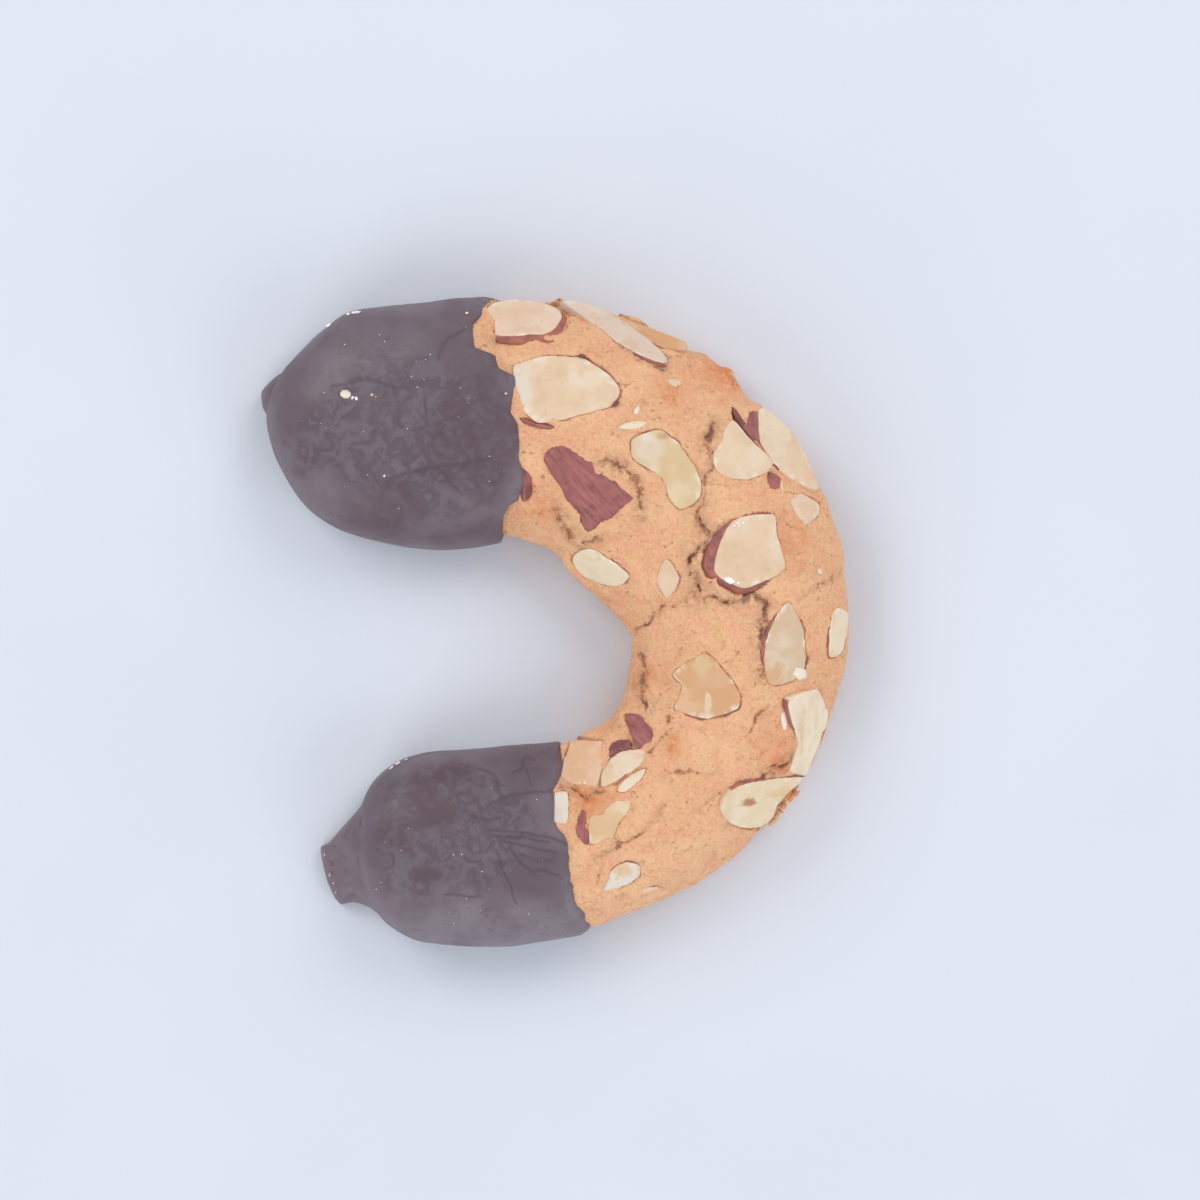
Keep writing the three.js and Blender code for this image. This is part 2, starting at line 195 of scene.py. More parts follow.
@dataclass
class Shell:
    """Closed surfaces gathered into one mesh, with marks on their points that the finish reads."""

    points: list[Field] = field(default_factory=list)
    quads: list[NDArray[np.int64]] = field(default_factory=list)
    triangles: list[NDArray[np.int64]] = field(default_factory=list)
    marks: dict[str, list[Field]] = field(default_factory=dict)
    count: int = 0

    def add_rings(self, rings: Field, **marks: Field) -> None:
        """Adds a closed surface through rings of points.

        Neighbouring rings are joined by four-sided faces, and the first and the last ring close on
        a pole at their mean point.

        Args:
            rings: points in mm, as ring, place in the ring, coordinate.
            marks: values of the rings' points, one number or one colour each.
        """
        rows, columns = rings.shape[:2]
        index = self.count + np.arange(rows * columns).reshape(rows, columns)
        following = np.roll(index, -1, axis=1)
        first_pole = self.count + rows * columns
        quads = np.stack([index[:-1], following[:-1], following[1:], index[1:]], axis=-1)
        first = np.stack([following[0], index[0], np.full(columns, first_pole)], axis=-1)
        last = np.stack([index[-1], following[-1], np.full(columns, first_pole + 1)], axis=-1)
        self.quads.append(quads.reshape(-1, 4))
        self.triangles.extend([first, last])
        self.points.append(self.with_poles(rings, 1))
        for name, values in marks.items():
            self.marks.setdefault(name, []).append(self.with_poles(values, values.ndim - 2))
        self.count += rows * columns + 2

    @staticmethod
    def with_poles(rings: Field, value_axes: int) -> Field:
        """Ring values in one row, followed by the means of the first and the last ring."""
        flat = rings.reshape(-1, *rings.shape[2:]) if value_axes else rings.reshape(-1)
        return np.concatenate([flat, rings[[0, -1]].mean(axis=1)])

    def make_object(
        self, name: str, finish: bpy.types.Material, smooth: bool = True
    ) -> bpy.types.Object:
        """Makes the mesh object, in metres, with its marks and its finish.

        Args:
            name: the piece's name.
            finish: the piece's material.
            smooth: whether faces are shaded as one smooth skin.

        Returns:
            The new object, at the origin.
        """
        points = np.concatenate(self.points) * MM
        quads = np.concatenate(self.quads)
        triangles = np.concatenate(self.triangles)
        corners = np.concatenate([quads.ravel(), triangles.ravel()])
        sides = np.repeat([4, 3], [len(quads), len(triangles)])
        mesh = bpy.data.meshes.new(name)
        mesh.vertices.add(len(points))
        mesh.vertices.foreach_set("co", points.ravel())
        mesh.loops.add(len(corners))
        mesh.loops.foreach_set("vertex_index", corners)
        mesh.polygons.add(len(sides))
        mesh.polygons.foreach_set("loop_start", np.cumsum(sides) - sides)
        mesh.update(calc_edges=True)
        if smooth:
            mesh.shade_smooth()
        for mark, values in self.marks.items():
            self.write_mark(mesh, mark, np.concatenate(values))
        mesh.materials.append(finish)
        piece = bpy.data.objects.new(name, mesh)
        bpy.context.scene.collection.objects.link(piece)
        return piece

    @staticmethod
    def write_mark(mesh: bpy.types.Mesh, mark: str, values: Field) -> None:
        """Stores one mark on the mesh's points: a number, or a colour where it has three parts.

        Args:
            mesh: the mesh.
            mark: the mark's name.
            values: one number or one colour a point.
        """
        if values.ndim == 1:
            layer = mesh.attributes.new(mark, "FLOAT", "POINT")
            layer.data.foreach_set("value", values.astype(np.float32))
            return
        opaque = np.concatenate([values, np.ones((len(values), 1))], axis=1)
        layer = mesh.attributes.new(mark, "FLOAT_COLOR", "POINT")
        layer.data.foreach_set("color", opaque.astype(np.float32).ravel())


@dataclass(frozen=True)
class TipRound:
    """Rounded end of the strip: the length that it takes, and its power, 2 for an ellipse."""

    length: float
    power: float

    def share(self, from_tip: Field, grow: Field) -> Field:
        """Share of the full section at a distance from the tip: (1 - (1 - near)^p)^(1/p).

        Args:
            from_tip: distances from the tip in mm.
            grow: how far outside the skin, in mm.

        Returns:
            The shares, 0 at the tip and 1 from the end of the rounding on.
        """
        near = np.clip((from_tip + grow) / (self.length + grow), 0.0, 1.0)
        return (1.0 - (1.0 - near) ** self.power) ** (1.0 / self.power)


class StripFrame(NamedTuple):
    """Centre, outward direction and half width at distances along the strip's middle line."""

    centre: Field
    outward: Field
    half_width: Field


@dataclass
class DoughStrip:
    """Bare form of the horn: a middle line round the C, and a domed section carried along it.

    The middle line is a smooth curve through stations of x, y and half width, from the upper tip
    round the closed side to the lower tip. Places on the skin are given by the distance along the
    line, the place across (-1 at the inside of the C, 1 at the outside) and the rise (1 at the
    crown, 0 at the widest line, -1 at the base).
    """

    stations: tuple[tuple[float, float, float], ...] = (
        (-52.5, 40.2, 13.4),
        (-41.0, 38.3, 18.7),
        (-23.5, 36.6, 21.8),
        (-6.5, 37.6, 21.6),
        (11.8, 31.6, 22.6),
        (27.6, 16.4, 22.6),
        (34.0, 0.2, 20.4),
        (31.0, -16.2, 18.8),
        (22.4, -29.8, 17.2),
        (7.6, -38.6, 16.8),
        (-9.5, -41.5, 17.3),
        (-23.5, -42.0, 16.4),
        (-35.8, -42.9, 14.5),
    )
    upper_tip: TipRound = TipRound(15.5, 2.0)
    lower_tip: TipRound = TipRound(12.4, 2.5)
    edge_height: float = 5.0
    least_height: float = 12.4
    height_per_half_width: float = 0.3
    dome_power: float = 2.4
    base_share: float = 0.86
    tip_base_power: float = 0.35
    coat: float = 1.25
    lift_run: float = 12.0
    upper_lift_end: float = 50.0
    lower_lift_end: float = 156.0
    steepest_place: float = 0.95
    samples: int = 4001
    line: Field = field(init=False)
    run: Field = field(init=False)
    length: float = field(init=False)

    def __post_init__(self) -> None:
        """Samples the middle line: x, y and half width, and the distance run up to each sample."""
        stations = np.array(self.stations)
        slopes = np.gradient(stations, axis=0)
        place = np.linspace(0, len(stations) - 1, self.samples)
        k = np.minimum(place.astype(int), len(stations) - 2)
        t = (place - k)[:, None]
        self.line = hermite(stations[k], stations[k + 1], slopes[k], slopes[k + 1], t)
        steps = np.linalg.norm(np.diff(self.line[:, :2], axis=0), axis=1)
        self.run = np.concatenate([[0.0], np.cumsum(steps)])
        self.length = float(self.run[-1])

    def frame_at(self, distance: Field) -> StripFrame:
        """Frame of the middle line; past either tip the line goes straight on.

        Args:
            distance: distances along the line in mm.

        Returns:
            The frame at each distance.
        """
        inside = np.clip(distance, 0.0, self.length)
        x, y, half = (np.interp(inside, self.run, column) for column in self.line.T)
        travel = np.gradient(self.line[:, :2], self.run, axis=0)
        along = np.stack([np.interp(inside, self.run, column) for column in travel.T], axis=-1)
        along = along / np.linalg.norm(along, axis=-1, keepdims=True)
        centre = np.stack([x, y], axis=-1) + along * (distance - inside)[..., None]
        outward = np.stack([-along[..., 1], along[..., 0]], axis=-1)
        return StripFrame(centre, outward, half)

    def crown(self, half_width: Field) -> Field:
        """Height of the dome: a wide stretch stands higher."""
        return self.least_height + self.height_per_half_width * half_width

    def base_lift(self, distance: Field) -> Field:
        """Height of the dough's base above the floor: a coat's thickness inside the chocolate.

        Args:
            distance: distances along the line in mm.

        Returns:
            The heights in mm.
        """
        upper = 1.0 - smoothstep(distance, self.upper_lift_end, self.upper_lift_end + self.lift_run)
        lower = smoothstep(distance, self.lower_lift_end - self.lift_run, self.lower_lift_end)
        return self.coat * (upper + lower)

    def skin(self, distance: Field, across: Field, rise: Field, grow: Field) -> Field:
        """Places on the skin, grown outwards.

        Across and up, the section shrinks towards a tip as the tip's rounding says. The place is
        the line's centre, moved outwards by across times the half width, at the edge's height plus
        the rise times the height to the crown, or less the depth to the base.

        Args:
            distance: distances along the line in mm.
            across: places across, -1 to 1.
            rise: rises, -1 to 1.
            grow: how far outside the skin, in mm.

        Returns:
            The points, with the coordinate last.
        """
        distance, across, rise, grow = np.broadcast_arrays(distance, across, rise, grow)
        at = self.frame_at(distance)
        upper = self.upper_tip.share(distance, grow)
        share = np.minimum(upper, self.lower_tip.share(self.length - distance, grow))
        up = (self.crown(at.half_width) + grow - self.edge_height) * share
        base = np.maximum(0.0, self.base_lift(distance) - grow)
        down = (self.edge_height - base) * share**self.tip_base_power
        plan = at.centre + at.outward * (across * (at.half_width + grow) * share)[..., None]
        height = self.edge_height + rise * np.where(rise > 0, up, down)
        return np.concatenate([plan, height[..., None]], axis=-1)

    def section(self, dome: int, edge: int, base: int) -> tuple[Field, Field]:
        """Corners of one ring: over the dome from outside to inside, and back along the base.

        The dome is the curve |across|^p + rise^p = 1 for the dome's power p, with its corners an
        even distance apart. Under the widest line a quarter turn leads to the flat base.

        Args:
            dome: steps over the dome.
            edge: steps round each lower edge.
            base: steps along the base.

        Returns:
            The places across and the rises.
        """
        turn = np.linspace(0.0, np.pi, 2000)
        across = signed_power(np.cos(turn), 2.0 / self.dome_power)
        rise = np.abs(np.sin(turn)) ** (2.0 / self.dome_power)
        half_width = float(np.mean(self.line[:, 2]))
        up = float(self.crown(half_width)) - self.edge_height
        run = np.cumsum(np.hypot(np.gradient(across) * half_width, np.gradient(rise) * up))
        even = np.linspace(run[0], run[-1], dome + 1)
        dome_across = np.interp(even, run, across)
        dome_rise = np.interp(even, run, rise)
        low_turn = np.linspace(0.0, np.pi / 2, edge + 1)[1:]
        low_across = self.base_share + (1.0 - self.base_share) * np.cos(low_turn)
        low_rise = -np.sin(low_turn)
        base_across = np.linspace(-self.base_share, self.base_share, base + 1)[1:-1]
        return (
            np.concatenate([dome_across, -low_across, base_across, low_across[::-1]]),
            np.concatenate([dome_rise, low_rise, np.full(base - 1, -1.0), low_rise[::-1]]),
        )

    def place(self, plan: Field) -> tuple[Field, Field]:
        """Distance along and place across of points in plan, by the nearest sample of the line.

        Args:
            plan: points as x and y in mm, one a row.

        Returns:
            The distances and the places across.
        """
        gaps = np.linalg.norm(plan[:, None, :] - self.line[None, :, :2], axis=-1)
        distance = self.run[np.argmin(gaps, axis=1)]
        at = self.frame_at(distance)
        aside = np.sum((plan - at.centre) * at.outward, axis=-1)
        return distance, aside / at.half_width

    def crust_height(self, plan: Field) -> Field:
        """Height of the dome over points in plan.

        Args:
            plan: points as x and y in mm, one a row.

        Returns:
            The heights in mm.
        """
        distance, across = self.place(plan)
        reach = np.minimum(np.abs(across), self.steepest_place)
        rise = (1.0 - reach**self.dome_power) ** (1.0 / self.dome_power)
        crown = self.crown(self.frame_at(distance).half_width)
        return self.edge_height + (crown - self.edge_height) * rise

    def crust_slope(self, centre: Field, span: float = 1.5) -> Field:
        """Slope of the dome at one point in plan, by differences over a span.

        Args:
            centre: x and y of the point in mm.
            span: how far to each side the heights are taken, in mm.

        Returns:
            The slopes along x and y.
        """
        steps = np.array([[span, 0.0], [-span, 0.0], [0.0, span], [0.0, -span]])
        heights = self.crust_height(centre + steps)
        return np.array([heights[0] - heights[1], heights[2] - heights[3]]) / (2.0 * span)


@dataclass(frozen=True)
class Rim:
    """Where the chocolate ends: place across the strip and distance along it, point by point."""

    points: Plan
    ripple: float = 0.55
    grain: Grain = Grain(4.0, 2, 31)
    fray: float = 0.2
    fine_grain: Grain = Grain(1.1, 2, 32)
    frayed_grain: Grain = Grain(5.0, 1, 33)

    def distance(self, strip: DoughStrip, across: Field, rise: Field) -> Field:
        """Distance of the rim along the strip, by straight runs between its points.

        Under the widest line the places across are spread over the base's width, so that the rim
        goes straight down the strip's lower edges.

        Args:
            strip: the bare form.
            across: places across, -1 to 1.
            rise: rises, -1 to 1.

        Returns:
            The distances in mm.
        """
        table = np.array(self.points)
        place = np.where(rise < 0.0, across / strip.base_share, across)
        return np.interp(place, table[:, 0], table[:, 1])

    def wavy(self, strip: DoughStrip, across: Field, rise: Field) -> Field:
        """Distance of the rim with the soft waves of set chocolate, and a finer fray in places.

        Args:
            strip: the bare form.
            across: places across, -1 to 1.
            rise: rises, -1 to 1.

        Returns:
            The distances in mm.
        """
        plain = self.distance(strip, across, rise)
        place = strip.skin(plain, across, rise, np.zeros(1))
        frayed = self.fray * smoothstep(self.frayed_grain.at(place), -0.1, 0.6)
        return plain + self.ripple * self.grain.at(place) + frayed * self.fine_grain.at(place)


UPPER_RIM = Rim((
    (-0.96, 41.4), (-0.83, 43.4), (-0.68, 48.4), (-0.46, 48.8), (-0.35, 47.2), (-0.09, 46.4),
    (0.03, 44.6), (0.16, 44.9), (0.35, 44.4), (0.41, 42.6), (0.52, 42.2), (0.59, 39.5),
    (0.8, 39.4), (0.9, 40.6), (1.0, 42.6),
))
LOWER_RIM = Rim((
    (-1.0, 157.6), (-0.65, 160.6), (-0.56, 162.9), (-0.23, 163.4), (-0.05, 162.2), (0.18, 161.6),
    (0.45, 162.0), (0.67, 161.7), (0.98, 160.7),
))


@dataclass
class PlanOutline:
    """Closed smooth outline in plan, held as its reach from its centre in every direction."""

    corners: Plan
    roundness: float = 0.3
    samples: int = 24
    centre: Field = field(init=False)
    turns: Field = field(init=False)
    reaches: Field = field(init=False)

    def __post_init__(self) -> None:
        """Runs a smooth curve through the corners, and finds its middle and its reach round it."""
        corners = np.array(self.corners)
        following = np.roll(corners, -1, axis=0)
        pull = self.roundness * (following - np.roll(corners, 1, axis=0))
        t = np.linspace(0.0, 1.0, self.samples, endpoint=False)[:, None, None]
        curve = hermite(corners, following, pull, np.roll(pull, -1, axis=0), t)
        curve = curve.transpose(1, 0, 2).reshape(-1, 2)
        ahead = np.roll(curve, -1, axis=0)
        doubled = curve[:, 0] * ahead[:, 1] - ahead[:, 0] * curve[:, 1]
        self.centre = np.sum((curve + ahead) * doubled[:, None], axis=0) / (3.0 * doubled.sum())
        offset = curve - self.centre
        turns = np.arctan2(offset[:, 1], offset[:, 0])
        order = np.argsort(turns)
        self.turns = turns[order]
        self.reaches = np.linalg.norm(offset, axis=1)[order]

    def reach(self, turn: Field) -> Field:
        """Distance from the centre to the outline in given directions, in radians."""
        return np.interp(turn, self.turns, self.reaches, period=2.0 * np.pi)


class Tone(Enum):
    """Colour of an almond piece's face."""

    CREAM = srgb(228, 199, 167)
    STRAW = srgb(221, 196, 154)
    IVORY = srgb(234, 215, 185)
    PEARL = srgb(238, 219, 192)
    CHALK = srgb(227, 216, 201)
    SHELL = srgb(223, 198, 178)
    BUTTER = srgb(230, 209, 174)
    FLAX = srgb(214, 185, 153)
    BLUSH = srgb(233, 201, 174)
    AMBER = srgb(217, 166, 121)
    GOLD = srgb(225, 188, 146)
    PEACH = srgb(232, 187, 150)
    WHITE = srgb(240, 227, 209)
    FROST = srgb(252, 250, 246)
    TOASTED = srgb(222, 148, 104)
    RUSSET = srgb(184, 116, 84)
    SKIN = srgb(156, 98, 95)
    DARK_SKIN = srgb(128, 80, 78)

    @property
    def is_skin(self) -> bool:
        """True where the face is the almond's brown skin."""
        return self in (Tone.SKIN, Tone.DARK_SKIN)


@dataclass(frozen=True)
class SkinEdge:
    """Stretch of a slice's edge where brown skin shows, by its directions in degrees.

    A lean above 1 puts the widest place nearer the end, and one below 1 nearer the start.
    """

    start: float
    end: float
    width: float
    lean: float = 1.0

    def spread(self, turn: Field) -> Field:
        """Width of the skin: the root of a half sine wave of the leaning share of the stretch.

        Args:
            turn: directions in radians.

        Returns:
            The widths in mm, 0 outside the stretch.
        """
        share = ((np.degrees(turn) - self.start) % 360.0) / (self.end - self.start)
        inside = np.clip(share, 0.0, 1.0) ** self.lean
        return self.width * np.sqrt(np.sin(np.pi * inside))


@dataclass(frozen=True)
class Stain:
    """Spot of another tone on a slice: centre in plan, half lengths along x and y, strength."""

    centre: tuple[float, float]
    half: tuple[float, float]
    tone: Tone
    strength: float = 0.8
    ragged: float = 0.35
    grain: Grain = Grain(1.1, 2, 59)
    full_reach: float = 0.55
    end_reach: float = 1.05

    def cover(self, points: Field) -> Field:
        """How stained each point is: the strength inside an oval, faded at its ragged edge.

        Args:
            points: points of the slice in mm, with the coordinate last.

        Returns:
            The share of the stain's tone, 0 to 1.
        """
        local = (points[..., :2] - np.array(self.centre)) / np.array(self.half)
        reach = np.linalg.norm(local, axis=-1) + self.ragged * self.grain.at(points)
        return self.strength * (1.0 - smoothstep(reach, self.full_reach, self.end_reach))


@dataclass(frozen=True)
class AlmondPiece:
    """One piece of almond from above: outline, tone, skin along its edge, and how it sits."""

    name: str
    corners: Plan
    tone: Tone
    skin: tuple[SkinEdge, ...] = ()
    proud: float = 0.15
    swell: float = 0.15
    roundness: float = 0.38
    ragged: float = 0.14
    ribs: float = 0.05
    mottle: float = 0.3
    lift: float = 1.2
    stains: tuple[Stain, ...] = ()


ALMONDS: tuple[AlmondPiece, ...] = (
    AlmondPiece(
        "outer slab",
        ((-13.0, 57.9), (-11.3, 59.2), (-7.6, 60.0), (-3.0, 59.3), (0.3, 58.0), (1.0, 56.4),
         (-0.4, 54.2), (-2.4, 53.1), (-10.7, 52.9), (-11.3, 55.4)),
        Tone.BLUSH, (SkinEdge(212, 345, 0.6, 0.8), SkinEdge(302, 370, 1.9, 1.2)), proud=0.2,
        roundness=0.25,
    ),
    AlmondPiece(
        "broad oval",
        ((-8.0, 47.1), (-5.1, 48.4), (-0.6, 49.1), (4.7, 48.7), (7.5, 47.1), (9.9, 45.4),
         (11.6, 43.0), (11.4, 41.2), (9.9, 39.5), (6.4, 38.6), (2.3, 37.5), (-3.4, 36.7),
         (-6.3, 39.3), (-7.7, 43.6)),
        Tone.CREAM, (SkinEdge(-45, 130, 0.4),), roundness=0.3,
        stains=(Stain((-6.0, 43.2), (2.4, 4.8), Tone.CHALK, 0.8),
                Stain((6.4, 44.8), (4.2, 2.0), Tone.WHITE, 0.35)),
    ),
    AlmondPiece(
        "straw slice",
        ((13.6, 33.0), (14.7, 34.5), (17.1, 35.2), (19.9, 35.1), (24.1, 30.8), (26.7, 24.9),
         (25.3, 21.8), (22.8, 20.6), (20.7, 22.9), (19.7, 26.2), (17.0, 28.1), (14.3, 29.8)),
        Tone.STRAW, (SkinEdge(20, 200, 0.4),), ragged=0.3, mottle=0.45,
        stains=(Stain((17.2, 31.8), (3.4, 2.6), Tone.CHALK, 0.5),
                Stain((20.8, 28.6), (1.2, 3.2), Tone.PEACH, 0.35),
                Stain((19.6, 34.3), (1.6, 0.7), Tone.RUSSET, 0.5),
                Stain((22.6, 24.2), (2.2, 2.2), Tone.IVORY, 0.5)),
    ),
    AlmondPiece(
        "teardrop",
        ((32.8, 37.2), (35.9, 33.6), (39.9, 29.6), (38.4, 27.5), (35.0, 26.3), (31.4, 26.6),
         (29.3, 28.3), (28.9, 30.8), (30.0, 33.8), (31.2, 36.2)),
        Tone.CREAM, (SkinEdge(15, 60, 0.4),), proud=0.45, swell=0.35, roundness=0.3, ragged=0.05,
        stains=(Stain((33.4, 31.0), (4.4, 5.0), Tone.IVORY, 0.3),),
    ),
    AlmondPiece(
        "long leaf",
        ((37.6, 39.3), (39.7, 39.1), (44.9, 33.6), (48.4, 25.3), (47.1, 24.7), (41.5, 28.0),
         (37.6, 33.2)),
        Tone.CREAM, (SkinEdge(150, 260, 0.3),), proud=0.4, roundness=0.45,
        # Painted light and shade: the ivory stain lightens the upper left, the peach one shades the
        # lower right.
        stains=(Stain((40.6, 35.4), (3.4, 5.0), Tone.IVORY, 0.7),
                Stain((46.4, 26.6), (2.4, 2.4), Tone.PEACH, 0.4)),
    ),
    AlmondPiece(
        "small block",
        ((43.1, 22.5), (45.2, 23.8), (48.4, 21.9), (48.4, 19.9), (45.8, 17.7), (44.7, 19.3)),
        Tone.BLUSH, roundness=0.42,
    ),
    AlmondPiece(
        "broad square",
        ((32.5, 18.6), (36.5, 19.8), (40.2, 19.9), (40.4, 16.6), (42.1, 11.2), (41.5, 9.2),
         (34.5, 6.4), (29.1, 9.2), (30.1, 14.7)),
        Tone.CREAM,
        (SkinEdge(100, 217, 2.8, 2.4), SkinEdge(218, 304, 1.4, 0.6), SkinEdge(60, 120, 0.4)),
        proud=0.4, roundness=0.28,
    ),
    AlmondPiece(
        "tall drop",
        ((43.0, 3.8), (45.4, -1.4), (45.6, -8.4), (42.1, -11.2), (38.8, -10.8), (38.4, -4.3),
         (40.8, 1.8)),
        # The wide skin band along the left side is partly skin and partly a painted shadow on that
        # side.
        Tone.FLAX, (SkinEdge(95, 225, 1.0), SkinEdge(-60, 90, 0.3)), roundness=0.42,
        stains=(Stain((39.6, -9.8), (3.0, 2.6), Tone.AMBER),),
    ),
    AlmondPiece(
        "edge sliver",
        ((50.8, 0.5), (52.0, 2.6), (54.0, 1.6), (53.8, -2.3), (52.7, -5.6), (50.4, -6.2)),
        Tone.IVORY, (SkinEdge(110, 270, 0.5),), lift=0.1,
    ),
    AlmondPiece(
        "amber wedge",
        ((21.2, -9.3), (27.1, -5.3), (31.0, -9.0), (33.8, -13.2), (33.2, -15.8), (27.7, -17.7),
         (21.6, -16.0), (23.0, -11.7)),
        Tone.AMBER, (SkinEdge(225, 375, 0.4),), proud=0.35, swell=0.5, roundness=0.2, ribs=0.16,
        mottle=0.12,
        # Painted light: the peach stain is a lit facet at the lower left, the thin ivory one a
        # glint.
        stains=(Stain((23.6, -14.6), (2.6, 3.0), Tone.PEACH, 0.7),
                Stain((27.2, -7.6), (2.4, 2.2), Tone.STRAW, 0.6),
                Stain((27.9, -14.6), (0.6, 2.4), Tone.IVORY, 0.7)),
    ),
    AlmondPiece(
        "split bar",
        ((42.6, -14.9), (44.9, -13.2), (48.2, -12.3), (50.2, -16.4), (50.2, -18.2), (47.4, -25.6),
         (46.0, -28.4), (43.0, -27.5), (44.5, -22.5), (43.9, -19.7)),
        Tone.PEARL, (SkinEdge(120, 230, 0.4),), roundness=0.3, ragged=0.24, ribs=0.3, lift=0.2,
        stains=(Stain((45.2, -20.4), (0.5, 5.0), Tone.GOLD, 0.7),
                Stain((47.9, -17.2), (0.5, 3.6), Tone.GOLD, 0.5)),
    ),
    AlmondPiece(
        "fan",
        ((30.4, -34.5), (31.4, -31.6), (34.1, -29.9), (39.5, -28.9), (45.8, -28.7), (43.2, -31.2),
         (41.2, -33.4), (39.9, -36.2), (38.0, -37.7), (35.2, -38.0), (31.9, -36.9)),
        Tone.BUTTER, (SkinEdge(10, 160, 0.4),), proud=0.35, ribs=0.2, lift=0.5,
        stains=(Stain((35.2, -33.1), (1.7, 0.8), Tone.RUSSET, 0.9),
                Stain((41.5, -31.4), (3.2, 1.4), Tone.GOLD)),
    ),
    AlmondPiece(
        "white fin",
        ((8.6, -49.4), (9.6, -46.9), (10.6, -45.3), (12.7, -44.1), (15.4, -44.8), (15.2, -46.7),
         (13.3, -48.1), (10.6, -49.1)),
        Tone.CHALK, (SkinEdge(20, 190, 0.3),), mottle=0.1,
        stains=(Stain((11.8, -45.4), (3.4, 1.7), Tone.GOLD, 0.85),),
    ),
    AlmondPiece(
        "lower leaf",
        ((6.2, -35.5), (8.3, -34.7), (10.4, -32.8), (13.7, -32.5), (13.5, -34.3), (11.8, -36.4),
         (11.1, -37.8), (10.4, -39.5), (8.7, -40.2), (6.1, -40.7), (5.9, -38.0)),
        Tone.GOLD, roundness=0.25,
        stains=(Stain((12.2, -33.8), (1.9, 1.5), Tone.IVORY, 0.6),),
    ),
    AlmondPiece(
        "peach block",
        ((2.7, -21.8), (8.6, -21.9), (9.3, -22.8), (7.1, -29.5), (0.8, -28.8)),
        Tone.PEACH, proud=0.3, roundness=0.2,
    ),
    AlmondPiece(
        "pale leaf",
        ((8.1, -29.8), (8.3, -27.5), (10.0, -25.0), (12.1, -23.7), (14.9, -23.2), (16.6, -23.7),
         (16.2, -25.0), (14.5, -26.8), (11.8, -28.5), (9.0, -30.0)),
        Tone.CREAM, (SkinEdge(30, 170, 0.45),), proud=0.4,
        stains=(Stain((12.6, -26.0), (3.4, 2.6), Tone.WHITE, 0.35),),
    ),
    AlmondPiece(
        "thin leaf",
        ((11.2, -30.8), (12.9, -28.4), (16.4, -26.7), (15.6, -28.6), (12.7, -31.0)),
        Tone.IVORY,
    ),
    AlmondPiece(
        "white slip",
        ((-0.3, -31.2), (2.1, -31.2), (2.3, -35.6), (1.6, -36.9), (-0.5, -36.7)),
        Tone.CHALK, roundness=0.15,
    ),
    AlmondPiece(
        "inner leaf",
        ((2.9, 11.6), (6.2, 13.4), (13.2, 8.8), (10.8, 6.6), (5.3, 8.2)),
        Tone.IVORY, (SkinEdge(-20, 80, 0.45),), roundness=0.42,
    ),
    AlmondPiece(
        "small drop",
        ((20.1, 11.6), (22.5, 8.6), (21.6, 5.8), (20.3, 4.3), (18.4, 7.9)),
        Tone.CREAM, (SkinEdge(-70, 90, 0.25),),
    ),
    AlmondPiece(
        "white blade",
        ((0.9, 59.7), (4.5, 59.3), (8.5, 58.0), (12.3, 55.8), (16.8, 52.5), (20.4, 48.9),
         (19.5, 47.8), (15.3, 49.4), (11.3, 51.6), (8.4, 54.2), (5.2, 56.5), (1.8, 58.2)),
        Tone.SHELL, (SkinEdge(230, 330, 0.4),), proud=0.45,
    ),
    AlmondPiece(
        "amber blade",
        ((5.8, 59.0), (10.0, 57.3), (14.0, 55.8), (18.6, 54.1), (22.0, 52.8), (24.2, 51.6),
         (23.4, 50.2), (19.7, 50.8), (16.5, 52.4), (12.5, 54.9), (8.5, 57.4)),
        Tone.AMBER, proud=0.4, ribs=0.14,
    ),
    AlmondPiece(
        "sunk chip",
        ((20.3, 44.7), (22.1, 45.0), (23.2, 44.1), (21.7, 43.4)),
        Tone.CREAM, proud=-0.1,
    ),
    AlmondPiece(
        "large chunk",
        ((-2.3, 30.2), (-1.2, 32.1), (0.8, 32.5), (3.2, 31.7), (6.4, 29.3), (7.5, 27.7),
         (10.8, 25.8), (14.2, 22.7), (11.7, 20.8), (9.0, 18.8), (6.0, 16.6), (4.7, 18.2),
         (4.3, 19.9), (1.8, 22.7), (-1.6, 28.6)),
        Tone.SKIN, proud=0.4, swell=0.7, roundness=0.2, ragged=0.24,
    ),
    AlmondPiece(
        "sliver by the oval",
        ((-6.9, 37.8), (-3.4, 36.6), (-0.4, 36.1), (-0.7, 35.7), (-3.6, 35.8), (-6.7, 37.1)),
        Tone.SKIN,
    ),
    AlmondPiece(
        "red chunk",
        ((12.9, -17.3), (15.4, -16.9), (17.5, -19.7), (17.3, -21.6), (14.7, -23.0), (13.8, -21.2)),
        Tone.SKIN, proud=0.4, swell=0.6,
    ),
    AlmondPiece(
        "dark strip",
        ((9.4, -23.2), (10.4, -21.9), (13.1, -21.5), (13.7, -23.1), (11.4, -23.9), (9.6, -24.9)),
        Tone.DARK_SKIN,
    ),
    AlmondPiece(
        "skin by the lower leaf",
        ((4.9, -34.0), (5.5, -35.2), (5.6, -37.1), (6.2, -39.1), (5.8, -40.7), (4.2, -39.7),
         (3.3, -38.1), (3.9, -35.7)),
        Tone.SKIN,
    ),
    AlmondPiece("small skin", ((39.1, 27.7), (41.2, 26.7), (40.6, 24.7), (39.3, 25.3)), Tone.SKIN),
    AlmondPiece(
        "skin at the rim",
        ((-6.9, 27.7), (-5.5, 27.9), (-4.6, 25.2), (-5.0, 22.9), (-6.4, 22.5)),
        Tone.DARK_SKIN, proud=0.2, ragged=0.3,
    ),
    AlmondPiece(
